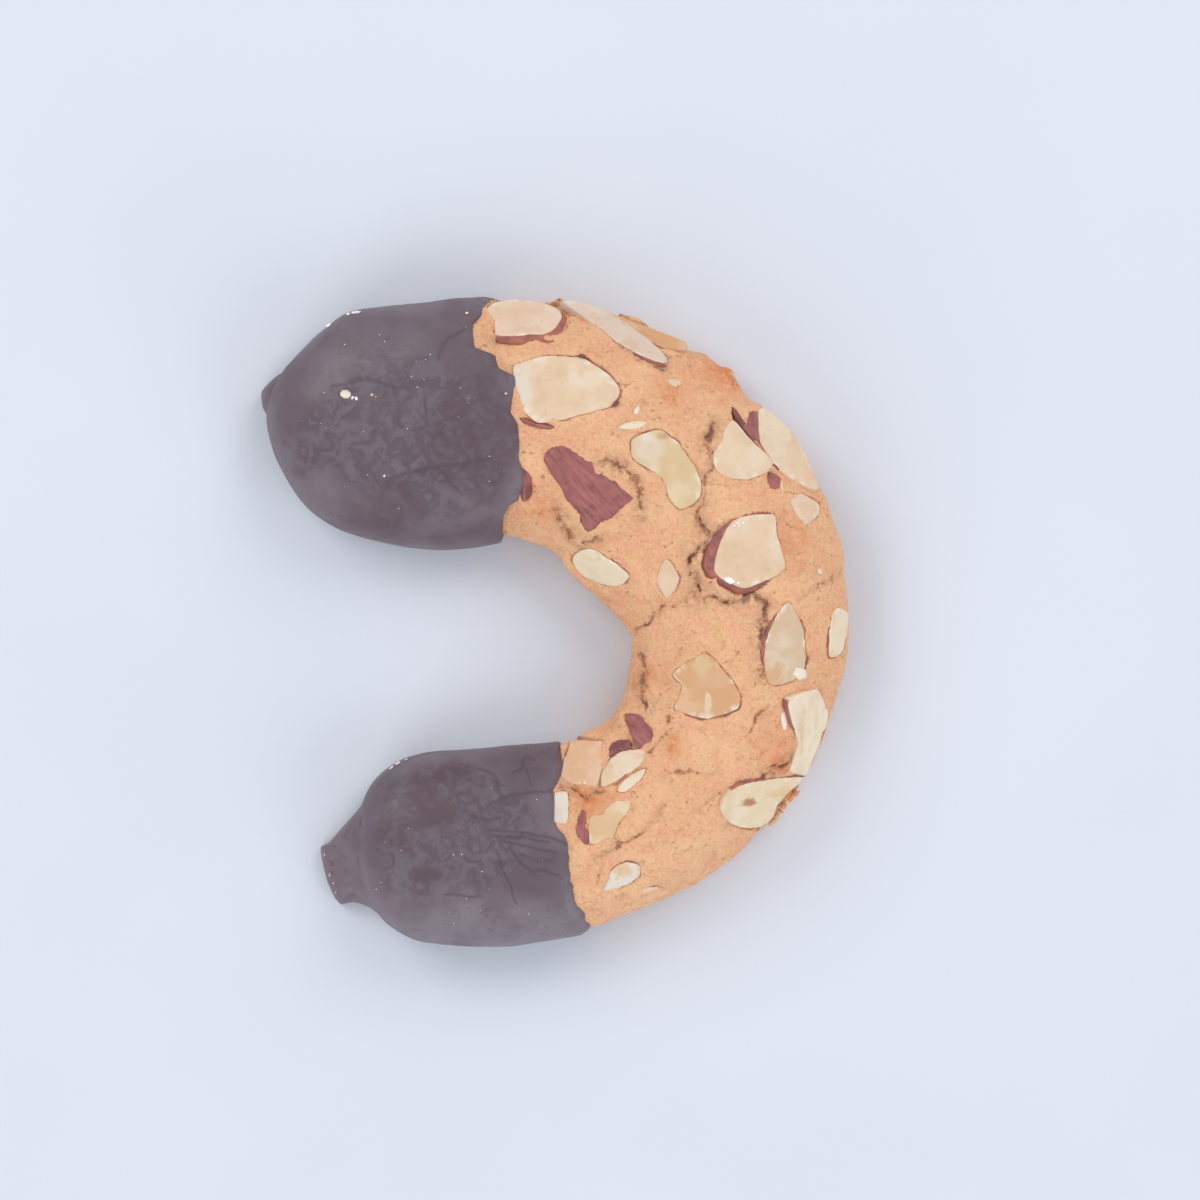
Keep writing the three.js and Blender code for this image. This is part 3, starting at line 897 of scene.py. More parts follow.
        "skin by the blade",
        ((15.2, 49.2), (18.0, 48.0), (20.4, 47.2), (17.8, 47.3)),
        Tone.DARK_SKIN,
    ),
    AlmondPiece(
        "skin along the teardrop",
        ((32.1, 39.9), (33.0, 39.6), (34.3, 37.7), (35.3, 36.2), (36.3, 35.0), (37.0, 33.6),
         (36.2, 33.6), (35.2, 34.7), (34.2, 36.0), (33.1, 37.7)),
        Tone.DARK_SKIN, proud=-0.05, ragged=0.16,
    ),
    AlmondPiece(
        "skin along the long leaf",
        ((35.7, 38.8), (37.3, 38.9), (37.5, 36.0), (37.3, 33.3), (36.4, 34.3), (35.7, 35.4),
         (35.5, 36.9)),
        Tone.SKIN, proud=0.0, ragged=0.16, lift=0.0,
    ),
)


@dataclass
class BeddedAlmond:
    """An almond piece laid on the slope of the crust, with the dough closed up round it."""

    piece: AlmondPiece
    strip: DoughStrip
    seed: int
    directions: int = 80
    depth: float = 1.7
    lip_run: float = 3.0
    lap: float = 0.4
    edge_crumbs: float = 0.18
    shrinking: float = 0.3
    shrunk_side: float = -50.0
    lip_low: float = -0.34
    lip_rise: float = 0.56
    lip_crumbs: float = 0.1
    lip_flat: float = 0.3
    groove_width: float = 0.34
    moved_within: tuple[float, float] = (1.4, 3.0)
    lowest_moved: float = -5.0
    margin: float = 2.0
    face_shares: tuple[float, ...] = (0.08, 0.22, 0.37, 0.52, 0.66, 0.78, 0.88)
    rounding: float = 0.6
    edge_insets: tuple[float, ...] = (0.45, 0.25, 0.1, 0.02)
    edge_drops: tuple[float, ...] = (0.0, 0.02, 0.07, 0.16)
    wall_leans: tuple[float, ...] = (0.04, 0.35, 0.7, 1.0, 1.0)
    wall_top: float = 0.2
    wall_step: float = 0.08
    wall_slope: float = 0.5
    wall_deepest: float = 0.7
    base_shares: tuple[float, float] = (0.5, 0.1)
    unevenness: float = 0.1
    fibre_stretch: float = 0.12
    least_skin: float = 0.12
    outline: PlanOutline = field(init=False)
    slope: Field = field(init=False)
    normal: Field = field(init=False)
    anchor: Field = field(init=False)

    def __post_init__(self) -> None:
        """Finds the plane that the piece lies on: the crust's own slope under its middle."""
        self.outline = PlanOutline(self.piece.corners, self.piece.roundness)
        centre = self.outline.centre
        self.slope = self.strip.crust_slope(centre)
        upright = np.array([-self.slope[0], -self.slope[1], 1.0])
        self.normal = upright / np.linalg.norm(upright)
        height = self.strip.crust_height(centre[None])[0]
        self.anchor = np.array([*centre, height]) + self.normal * self.piece.proud

    def edge(self, turn: Field) -> Field:
        """Reach of the face, with a ragged cut edge.

        Args:
            turn: directions in radians.

        Returns:
            The reaches in mm.
        """
        circle = np.stack([np.cos(turn), np.sin(turn), np.full_like(turn, self.seed)], axis=-1)
        plain = self.outline.reach(turn)
        rough = Grain(2.0, 2, 5).at(circle * np.array([6.0, 6.0, 9.7]))
        return plain + self.piece.ragged * rough

    def skin_width(self, turn: Field) -> Field:
        """Width of the skin that shows outside the face in given directions."""
        widths = [stretch.spread(turn) for stretch in self.piece.skin]
        return np.max(widths, axis=0) if widths else np.zeros_like(turn)

    def near(self, points: Field) -> NDArray[np.bool_]:
        """True for points close enough in plan for the piece to move them."""
        reach = self.outline.reaches.max() + self.lip_run + self.margin
        return np.linalg.norm(points[:, :2] - self.outline.centre, axis=1) < reach

    def bed(self, points: Field) -> tuple[Field, Field]:
        """Closes the dough round the piece.

        A point of the dough is moved along the piece's normal towards a level that depends on its
        gap to the outline in plan: well below the face under the piece, and about level with the
        face outside it. A random hold, 0 to 1 along the edge, says where the dough laps over the
        edge and where it has shrunk back and left a groove, which is more usual on one side and
        along skin. The pull dies out over the lip's run and raises the dough no more than the
        piece's lift, and points far below the piece stay.

        Args:
            points: points of the dough in mm, one a row.

        Returns:
            The moved points, and how deep in a groove beside the edge each one lies, 0 to 1.
        """
        offset = points[:, :2] - self.outline.centre
        turn = np.arctan2(offset[:, 1], offset[:, 0])
        skin = self.skin_width(turn)
        shrunk = self.shrinking * np.cos(turn - math.radians(self.shrunk_side))
        hold = smoothstep(Grain(4.2, 2, 83 + self.seed).at(points) - shrunk, -0.35, 0.55)
        hold = hold * (1.0 - np.clip(skin, 0.0, 1.0))
        crumbs = Grain(1.2, 2, 81).at(points)
        gap = np.linalg.norm(offset, axis=1) - self.edge(turn) - skin
        closeness = np.clip(1.4 - 2.0 * self.piece.proud, 0.4, 1.0)
        gap = gap + closeness * (self.lap * hold + self.edge_crumbs * crumbs)
        height = (points - self.anchor) @ self.normal
        lip = self.lip_low + self.lip_rise * hold + self.lip_crumbs * crumbs
        under = np.interp(gap, [-0.6, -0.15, 0.1], [-1.0, -0.4, -0.2])
        level = np.where(gap < 0.0, under, lip)
        reachable = 1.0 - smoothstep(np.abs(height), *self.moved_within)
        pull = (1.0 - smoothstep(gap, self.lip_flat, self.lip_run)) * reachable
        raised = np.minimum(pull * (level - height), self.piece.lift)
        shift = np.where(gap < 0.0, np.minimum(level - height, 0.0), raised)
        shift = np.where(height > self.lowest_moved, shift, 0.0)
        moved = points + self.normal * shift[:, None]
        return moved, np.exp(-((gap / self.groove_width) ** 2)) * reachable * (1.0 - hold)

    def rings(self) -> tuple[Field, Field, Field]:
        """Rings of the piece, from the middle of its face over the edge to the middle of its base.

        The face is flat with a slight swell, 1 - share^2 of the reach, and its edge is rounded.
        Where skin shows, the wall leans outwards by the skin's width on its way down.

        Returns:
            The points, their reach as a share of the outline, and a mark that is 1 on skin.
        """
        turn = np.linspace(0.0, -2.0 * np.pi, self.directions, endpoint=False)
        edge = self.edge(turn)
        skin = self.skin_width(turn)
        shares = np.array(self.face_shares)[:, None]
        insets = np.array(self.edge_insets)[:, None]
        face = np.concatenate([shares * (edge - self.rounding), edge - insets])
        face_drop = np.concatenate([np.zeros(len(shares)), self.edge_drops])
        leans = np.array(self.wall_leans)[:, None]
        wall = edge + leans * skin
        lowered = self.wall_step + np.minimum(self.wall_slope * skin, self.wall_deepest)
        wall_drop = self.wall_top + leans * lowered
        wall_drop[-1] = self.depth
        base = np.array(self.base_shares)[:, None] * edge
        radius = np.concatenate([face, wall, base])
        drop = np.concatenate([
            np.repeat(face_drop[:, None], self.directions, axis=1),
            wall_drop,
            np.full(base.shape, self.depth),
        ])
        share = np.clip(radius / edge[None], 0.0, 1.0)
        is_face = (np.arange(len(radius)) < len(face))[:, None]
        swell = np.where(is_face, self.piece.swell * (1.0 - share**2), 0.0)
        offset = radius[..., None] * np.stack([np.cos(turn), np.sin(turn)], axis=-1)
        points = np.zeros((*radius.shape, 3))
        points[..., :2] = self.outline.centre + offset
        points[..., 2] = self.anchor[2] + (points[..., :2] - self.anchor[:2]) @ self.slope
        along, aside = self.lengthways(points)
        length = self.fibre_stretch * along
        fibre = np.stack([aside, length, np.full_like(along, self.seed)], axis=-1)
        rough = self.unevenness * Grain(2.4, 3, self.seed).at(points)
        rough = rough + self.piece.ribs * Grain(0.9, 2, 6).at(fibre)
        lift = swell - drop + np.where(is_face, rough * (1.0 - share**6), 0.0)
        points = points + self.normal * lift[..., None]
        mark = np.where(is_face, 0.0, 1.0) * (skin > self.least_skin)[None]
        return points, share, mark

    def lengthways(self, points: Field) -> tuple[Field, Field]:
        """Places of points by the piece's longest direction.

        Args:
            points: points in mm, with the coordinate last.

        Returns:
            The places along that direction and across it, in mm.
        """
        turn = np.linspace(0.0, np.pi, 180)
        span = self.outline.reach(turn) + self.outline.reach(turn + np.pi)
        longest = turn[np.argmax(span)]
        offset = points[..., :2] - self.outline.centre
        along = offset @ np.array([np.cos(longest), np.sin(longest)])
        aside = offset @ np.array([-np.sin(longest), np.cos(longest)])
        return along, aside


@dataclass(frozen=True)
class Crack:
    """Crack in the crust: a path in plan, its width and depth, and how far its crumbly banks go."""

    path: Plan
    width: float
    depth: float
    bank: float


CRACKS: tuple[Crack, ...] = (
    Crack(((14.7, -1.4), (16.9, 0.5), (19.3, 2.9), (21.7, 3.1), (24.7, 5.6)), 0.55, 0.4, 0.8),
    Crack(
        ((24.7, 5.6), (27.1, 4.5), (30.6, 4.0), (33.6, 4.0), (36.0, 5.3), (38.6, 2.9),
         (37.6, 0.1), (37.5, -3.6), (37.8, -10.0)),
        1.5, 1.1, 1.7,
    ),
    Crack(
        ((29.1, 36.5), (27.7, 34.1), (27.5, 31.9), (28.2, 29.7), (27.1, 25.6), (27.3, 22.3),
         (25.3, 19.7), (27.7, 17.3), (26.4, 14.9), (24.7, 11.9), (25.3, 8.2), (26.5, 5.3)),
        1.4, 1.1, 1.7,
    ),
    Crack(((44.5, 4.3), (46.2, 5.6), (49.1, 7.3), (52.4, 9.5)), 0.5, 0.4, 0.7),
    Crack(((-0.1, 20.4), (2.1, 16.7), (4.3, 14.3), (8.0, 15.3)), 0.5, 0.4, 1.2),
    Crack(((8.0, 29.7), (11.7, 29.0), (14.2, 26.4), (15.4, 22.7), (15.4, 19.9)), 0.65, 0.5, 1.4),
    Crack(
        ((21.4, -16.6), (21.0, -18.3), (20.0, -20.1), (19.2, -21.9), (18.5, -22.7), (16.9, -23.2)),
        0.9, 0.5, 0.5,
    ),
    Crack(((39.1, -15.4), (36.2, -17.7), (35.4, -20.4)), 0.6, 0.4, 0.5),
    Crack(((19.9, -27.3), (20.6, -28.0), (21.0, -29.3)), 0.8, 0.4, 0.4),
    Crack(((22.1, -27.7), (24.9, -27.3), (27.3, -28.4), (29.9, -26.9)), 0.4, 0.3, 0.5),
    Crack(((26.7, -35.1), (28.8, -32.1), (30.4, -31.0)), 0.5, 0.35, 0.5),
    Crack(
        ((19.7, -33.9), (18.2, -36.4), (15.4, -38.6), (11.0, -40.6), (7.5, -43.2)),
        0.5, 0.35, 0.6,
    ),
    Crack(((37.8, -28.0), (40.4, -26.8), (43.2, -25.4)), 1.1, 0.8, 1.4),
    Crack(((15.4, -5.5), (16.2, -9.2), (15.1, -12.5), (16.6, -15.6)), 1.1, 0.7, 1.6),
    Crack(((32.3, -9.3), (31.9, -7.5), (33.2, -5.6)), 0.5, 0.3, 0.4),
    Crack(((9.2, -30.4), (11.9, -28.9), (14.8, -27.1)), 0.8, 0.6, 0.5),
    Crack(((0.8, -30.2), (3.4, -30.6), (5.2, -32.4), (8.4, -30.9)), 1.1, 0.8, 1.4),
    Crack(((11.6, 51.2), (15.2, 48.6), (19.6, 46.6)), 0.8, 0.5, 1.0),
    Crack(((18.7, 2.6), (20.1, 3.3), (21.7, 3.2)), 0.95, 0.7, 0.6),
    Crack(((11.8, -40.0), (9.6, -41.9), (7.9, -42.8)), 0.8, 0.5, 0.8),
    Crack(((8.7, -44.6), (7.9, -46.1), (8.2, -47.5)), 0.7, 0.4, 0.6),
    Crack(((20.5, -33.1), (19.2, -34.4)), 0.75, 0.5, 0.5),
)


@dataclass(frozen=True)
class Patch:
    """Round stretch of crust: centre in plan, radius, and how high it is or how dark, which is
    baked browning and in one place painted shade.
    """

    centre: tuple[float, float]
    radius: float
    amount: float

    def bell(self, points: Field) -> Field:
        """Bell curve of the gap in plan, 1 at the centre."""
        gap = np.linalg.norm(points[..., :2] - np.array(self.centre), axis=-1) / self.radius
        return np.exp(-(gap**2))


BROWNING_AND_SHADE_PATCHES: tuple[Patch, ...] = (
    Patch((42.2, 14.6), 4.8, 0.5),
    Patch((31.4, 46.6), 4.4, 1.0),
    Patch((21.0, 42.2), 2.2, 0.9),
    Patch((6.0, -31.5), 4.0, 0.9),
    Patch((21.4, -22.5), 1.7, 1.0),
    Patch((-3.0, 21.0), 4.0, 0.5),
    Patch((40.0, -37.0), 3.5, 0.8),
    Patch((16.0, -10.0), 3.0, 0.6),
    Patch((39.6, -22.6), 3.2, 0.6),
    # This patch is painted shade on the low side of the bulge at (40.6, -23.4).
    Patch((41.0, -25.8), 2.4, 1.0),
    Patch((33.0, 44.5), 2.0, 1.0),
)
BULGES: tuple[Patch, ...] = (
    Patch((28.4, 49.0), 2.8, 1.3),
    Patch((32.4, 46.0), 3.0, 1.5),
    Patch((40.6, -23.4), 2.6, 1.1),
    Patch((43.6, -33.0), 2.2, 0.6),
)


@dataclass
class Biscuit:
    """The baked dough: the strip with crags, cracks, pores and a bed for every almond piece."""

    strip: DoughStrip
    almonds: list[BeddedAlmond]
    bare_from: float = 36.5
    bare_to: float = 166.0
    bare_rows: int = 366
    dipped_rows: int = 10
    tip_rows: int = 9
    dome_steps: int = 196
    edge_steps: int = 8
    base_steps: int = 22
    crag: float = 0.42
    crag_grain: Grain = Grain(7.5, 2, 3)
    crumb: float = 0.19
    crumb_grain: Grain = Grain(2.3, 2, 8)
    grit: float = 0.11
    grit_grain: Grain = Grain(0.9, 2, 9)
    seam_run: float = 1.6
    # Strength of the painted shade in the grooves beside the almond pieces.
    groove_shade: float = 0.45
    cleft_reach: float = 1.2
    cleft_half: float = 0.3
    cleft_close: float = 0.36
    crack_wander: float = 0.6
    crack_swell: float = 0.6
    crack_closing: float = 0.6
    least_half_width: float = 0.32
    pit_depth: float = 0.7
    hair_depth: float = 0.4
    bank_crumbs: float = 0.4
    browned_base: float = 0.55
    points: Field = field(init=False)
    marks: dict[str, Field] = field(init=False)

    def distances(self) -> Field:
        """Distances of the rings along the strip: close together where the dough is bare.

        Returns:
            The distances in mm.
        """
        tip = 1.0 - np.cos(np.linspace(math.radians(8), np.pi / 2, self.tip_rows))
        first = self.strip.upper_tip.length
        last = self.strip.length - self.strip.lower_tip.length
        start = np.linspace(first, self.bare_from, self.dipped_rows + 1)[1:-1]
        bare = np.linspace(self.bare_from, self.bare_to, self.bare_rows)
        end = np.linspace(self.bare_to, last, self.dipped_rows + 1)[1:-1]
        lower = self.strip.length - self.strip.lower_tip.length * tip[::-1]
        return np.concatenate([first * tip, start, bare, end, lower])

    def build(self) -> None:
        """Works out the dough's points and the marks of its crust.

        The strip's skin is moved along its normals by random crags and a few bulges, then cracks
        are sunk into it and the dough is closed round each almond piece.
        """
        across, rise = self.strip.section(self.dome_steps, self.edge_steps, self.base_steps)
        distance = self.distances()[:, None]
        smooth = self.strip.skin(distance, across, rise, np.zeros(1))
        normals = ring_normals(smooth)
        upper_rim = UPPER_RIM.distance(self.strip, across, rise)[None]
        lower_rim = LOWER_RIM.distance(self.strip, across, rise)[None]
        run = self.seam_run
        bare = smoothstep(distance, upper_rim - run, upper_rim + run)
        bare = bare * (1.0 - smoothstep(distance, lower_rim - run, lower_rim + run))
        side = bare * smoothstep(rise, -0.9, -0.1)[None]
        crags = self.crag * self.crag_grain.at(smooth)
        crags += self.crumb * self.crumb_grain.at(smooth)
        crags += self.grit * self.grit_grain.at(smooth)
        crags += self.bulging(smooth)
        shape = smooth.shape
        points = (smooth + normals * (crags * side)[..., None]).reshape(-1, 3)
        flat_normals = normals.reshape(-1, 3)
        flat_side = side.reshape(-1)
        depth, crack_shade, crumbly = self.crack_depth(points, flat_side)
        points = points - flat_normals * depth[:, None]
        groove = np.zeros(len(points))
        on_top = np.broadcast_to((rise > -0.5) & (bare > 0.3), shape[:2]).reshape(-1)
        for almond in self.almonds:
            near = on_top & almond.near(points)
            points[near], edge = almond.bed(points[near])
            groove[near] = np.maximum(groove[near], edge)
        points[:, 2] = np.maximum(points[:, 2], 0.0)
        self.points = points.reshape(shape)
        under = np.broadcast_to(1.0 - smoothstep(rise, -1.0, -0.6), shape[:2])
        brown = self.browning_and_shade(points)
        self.marks = {
            "groove_shade": (self.groove_shade * groove).reshape(shape[:2]),
            "crack_shade": crack_shade.reshape(shape[:2]),
            "crumbly": crumbly.reshape(shape[:2]),
            "browned_and_shaded": np.maximum(brown.reshape(shape[:2]), self.browned_base * under),
        }

    def crack_depth(self, points: Field, side: Field) -> tuple[Field, Field, Field]:
        """Depth of the cracks below the crust, the painted shade in them, and how crumbly the crust
        is beside them.

        A crack follows its path, moved aside at random, and is deepest on it. It opens where one
        random field is high and closes where that is low. Its crack_shade mark, painted shade in
        the crack, falls from its middle by 1 over a fixed reach, and is higher in the middle of a
        wide crack, so that the mark passes CLEFT_LEVEL a share of the width away from the middle.
        The banks have ragged pits where a second field is high, hairline cracks where a third is
        near 0, and raised crumbs between them; the pits and hairline cracks raise the crack_shade
        mark too.

        Args:
            points: points of the crust in mm, one a row.
            side: share of the relief that each point takes.

        Returns:
            The depths in mm, the crack_shade marks for painted shade, and the crumbly marks, 0 to
            1.
        """
        wander = np.stack([Grain(1.9, 3, 21).at(points), Grain(1.9, 3, 22).at(points)], axis=-1)
        plan = points[:, :2] + self.crack_wander * wander
        swell = 1.0 + self.crack_swell * Grain(1.3, 2, 23).at(points)
        closed = 1.0 - smoothstep(Grain(1.7, 2, 24).at(points), -0.3, 0.4)
        depth = np.zeros(len(points))
        crack_shade = np.zeros(len(points))
        crumbly = np.zeros(len(points))
        for crack in CRACKS:
            gap = gap_to_path(plan, crack.path)
            half = np.maximum(0.5 * crack.width * swell, self.least_half_width)
            opening = 1.0 - self.crack_closing * closed
            hollow = 1.0 - smoothstep(gap, 0.1 * half, half)
            depth = np.maximum(depth, crack.depth * opening * hollow)
            edge = self.cleft_half * crack.width * swell - self.cleft_close * closed
            crack_shade = np.maximum(crack_shade, CLEFT_LEVEL + (edge - gap) / self.cleft_reach)
            crumbly = np.maximum(crumbly, np.exp(-((gap / crack.bank) ** 2)) * min(crack.bank, 1.0))
        pitted = smoothstep(Grain(1.3, 2, 41).at(points), 0.2, 0.5)
        split = 1.0 - smoothstep(np.abs(Grain(1.7, 2, 46).at(points)), 0.04, 0.2)
        pits = self.pit_depth * crumbly**2 * pitted
        hairs = self.hair_depth * crumbly * split
        crumbs = self.bank_crumbs * crumbly * np.maximum(Grain(1.0, 2, 45).at(points), 0.0)
        sunk = np.maximum(depth, np.maximum(pits, hairs)) - crumbs
        crack_shade = np.maximum(crack_shade, CLEFT_LEVEL * np.maximum(pits, hairs) / self.pit_depth)
        return sunk * side, np.clip(crack_shade, 0.0, 1.0) * side, crumbly * side

    def browning_and_shade(self, points: Field) -> Field:
        """How dark the crust has baked, with painted shade under one bulge: a bell curve round each
        patch, broken up at random.

        Args:
            points: points of the crust in mm, one a row.

        Returns:
            The marks, 0 to 1.
        """
        brown = np.zeros(len(points))
        rough = 1.0 + 0.5 * Grain(2.2, 3, 61).at(points)
        for patch in BROWNING_AND_SHADE_PATCHES:
            brown = np.maximum(brown, patch.amount * rough * patch.bell(points))
        return np.clip(brown, 0.0, 1.0)

    def bulging(self, points: Field) -> Field:
        """Height of the bulges: a bell curve of the gap in plan, broken up at random.

        Args:
            points: points of the crust in mm, with the coordinate last.

        Returns:
            The heights in mm.
        """
        height = np.zeros(points.shape[:-1])
        rough = 1.0 + 0.45 * Grain(2.6, 2, 64).at(points)
        for bulge in BULGES:
            height += bulge.amount * rough * bulge.bell(points)
        return height

    def make(self) -> bpy.types.Object:
        """Makes the dough's mesh object.

        Returns:
            The new object.
        """
        self.build()
        shell = Shell()
        shell.add_rings(self.points, **self.marks)
        return shell.make_object("biscuit_dough", DoughFinish().material())


@dataclass
class AlmondPieces:
    """All the almond pieces, as one mesh of cut slices and one of pieces that show their skin."""

    almonds: list[BeddedAlmond]
    skin_line: Colour = srgb(178, 109, 92)
    skin_dark: Colour = srgb(145, 89, 87)
    shadow: Colour = srgb(212, 174, 132)
    rib_height: float = 0.09
    rib_stretch: float = 0.12
    ribbed_share: float = 0.97

    @staticmethod
    def blend(first: Field, second: Colour, share: Field) -> Field:
        """Colours that go from the first to the second as the share goes from 0 to 1."""
        return first + (np.array(second[:3]) - first) * share[..., None]

    def make_slices(self) -> bpy.types.Object:
        """Makes the cut slices: each face has its own tone, mottled paler, a paler rim that is
        partly white fray and partly a painted highlight, and brown skin walls.

        Returns:
            The new object.
        """
        shell = Shell()
        for almond in self.almonds:
            if almond.piece.tone.is_skin:
                continue
            points, share, skin = almond.rings()
            tone = np.array(almond.piece.tone.value[:3])
            clouds = Grain(3.4, 3, almond.seed + 70).at(points)
            streaks = Grain(1.3, 2, almond.seed + 71).at(points)
            mottle = almond.piece.mottle
            pale = mottle * smoothstep(clouds, 0.0, 0.9)
            # Paler rim: partly the white fray of the cut edge, partly a painted highlight where the
            # edge catches light.
            fray_and_highlight = 0.8 * smoothstep(share, 0.84, 0.95)
            pale = np.maximum(pale, fray_and_highlight * smoothstep(streaks, 0.1, 0.6))
            colour = self.blend(tone, Tone.WHITE.value, pale)
            colour = self.blend(colour, self.shadow, mottle * smoothstep(clouds, -0.1, -0.9))
            for stain in almond.piece.stains:
                colour = self.blend(colour, stain.tone.value, stain.cover(points))
            darker = smoothstep(streaks, -0.4, 0.4)
            leather = self.blend(np.array(self.skin_line[:3]), self.skin_dark, darker)
            colour = colour + (leather - colour) * skin[..., None]
            shell.add_rings(points, tone=colour)
        return shell.make_object("almond_slices", SliceFinish().material())

    def make_skins(self) -> bpy.types.Object:
        """Makes the pieces whose brown skin lies uppermost, with marks for its lengthwise ribs.

        Returns:
            The new object.
        """
        shell = Shell()
        for almond in self.almonds:
            if not almond.piece.tone.is_skin:
                continue
            points, share, _ = almond.rings()
            along, aside = almond.lengthways(points)
            ribs = Grain(0.9, 2, almond.seed + 90)
            length = self.rib_stretch * along
            rib_place = np.stack([aside, length, np.zeros_like(along)], axis=-1)
            height = self.rib_height * ribs.at(rib_place) * (share < self.ribbed_share)
            points = points + almond.normal * height[..., None]
            tone = np.broadcast_to(np.array(almond.piece.tone.value[:3]), (*share.shape, 3))
            shell.add_rings(points, tone=tone, along=along, aside=aside)
        return shell.make_object("almond_skins", SkinFinish().material())


@dataclass(frozen=True)
class Wrinkle:
    """Fine wrinkle in set chocolate: path in plan, width, and height, below 0 for a groove."""

    path: Plan
    width: float
    height: float


@dataclass(frozen=True)
class Smear:
    """Stretch of chocolate with its own look: centre in plan, half lengths, turn and strength."""

    centre: tuple[float, float]
    half: tuple[float, float]
    turn: float = 0.0
    ragged: float = 0.22
    grain: Grain = Grain(6.0, 3, 58)
    fade: float = 0.18
    end_reach: float = 1.05
    strength: float = 1.0

    def cover(self, points: Field) -> Field:
        """The strength inside an oval, whose edge wanders at random, and 0 outside.

        Args:
            points: points of the coat in mm, with the coordinate last.

        Returns:
            The strengths, 0 to 1.
        """
        angle = math.radians(self.turn)
        axes = np.array([[math.cos(angle), -math.sin(angle)], [math.sin(angle), math.cos(angle)]])
        local = (points[..., :2] - np.array(self.centre)) @ axes / np.array(self.half)
        reach = np.linalg.norm(local, axis=-1) + self.ragged * self.grain.at(points)
        return self.strength * (1.0 - smoothstep(reach, 1.0 - self.fade, self.end_reach))


@dataclass(frozen=True)
class ChocolateTail:
    """Chocolate that ran off a tip and set on the floor: outline in plan, and heights of its top.

    The top rises along the inward direction, from a low outer edge to where it runs into the dome.
    """

    corners: Plan
    inward: tuple[float, float]
    low: float
    high: float
    run: float
    spread: float = 0.9
    roundness: float = 0.25
    directions: int = 140
    flat_share: float = 0.84
    pole_share: float = 0.06
    base_shares: tuple[float, ...] = (0.97, 0.5, 0.06)

    def rings(self) -> Field:
        """Rings from the middle of the top over the rounded edge to the middle of the base.

        The top's level rises from low to high over the run by the square of the way, as a hollow
        fillet, and is multiplied by (1 - share^5)^0.4 of its reach, which rounds the edge.

        Returns:
            The points, as ring, place in the ring, coordinate.
        """
        outline = PlanOutline(self.corners, self.roundness)
        turn = np.linspace(0.0, -2.0 * np.pi, self.directions, endpoint=False)
        reach = outline.reach(turn) + self.spread
        flat = np.linspace(self.pole_share, self.flat_share, 16)
        edge = 1.0 - (1.0 - self.flat_share) * np.linspace(0.9, 0.0, 14) ** 2
        share = np.concatenate([flat, edge])
        rounding = np.maximum((1.0 - share**5) ** 0.4, 0.08)
        share = np.concatenate([share, self.base_shares])
        rounding = np.concatenate([rounding, np.zeros(len(self.base_shares))])
        aim = np.stack([np.cos(turn), np.sin(turn)], axis=-1)
        plan = outline.centre + (share[:, None] * reach)[..., None] * aim
        along = plan @ np.array(self.inward)
        way = np.clip((along - along.min()) / self.run, 0.0, 1.0)
        level = self.low + (self.high - self.low) * way**2
        return np.concatenate([plan, (rounding[:, None] * level)[..., None]], axis=-1)


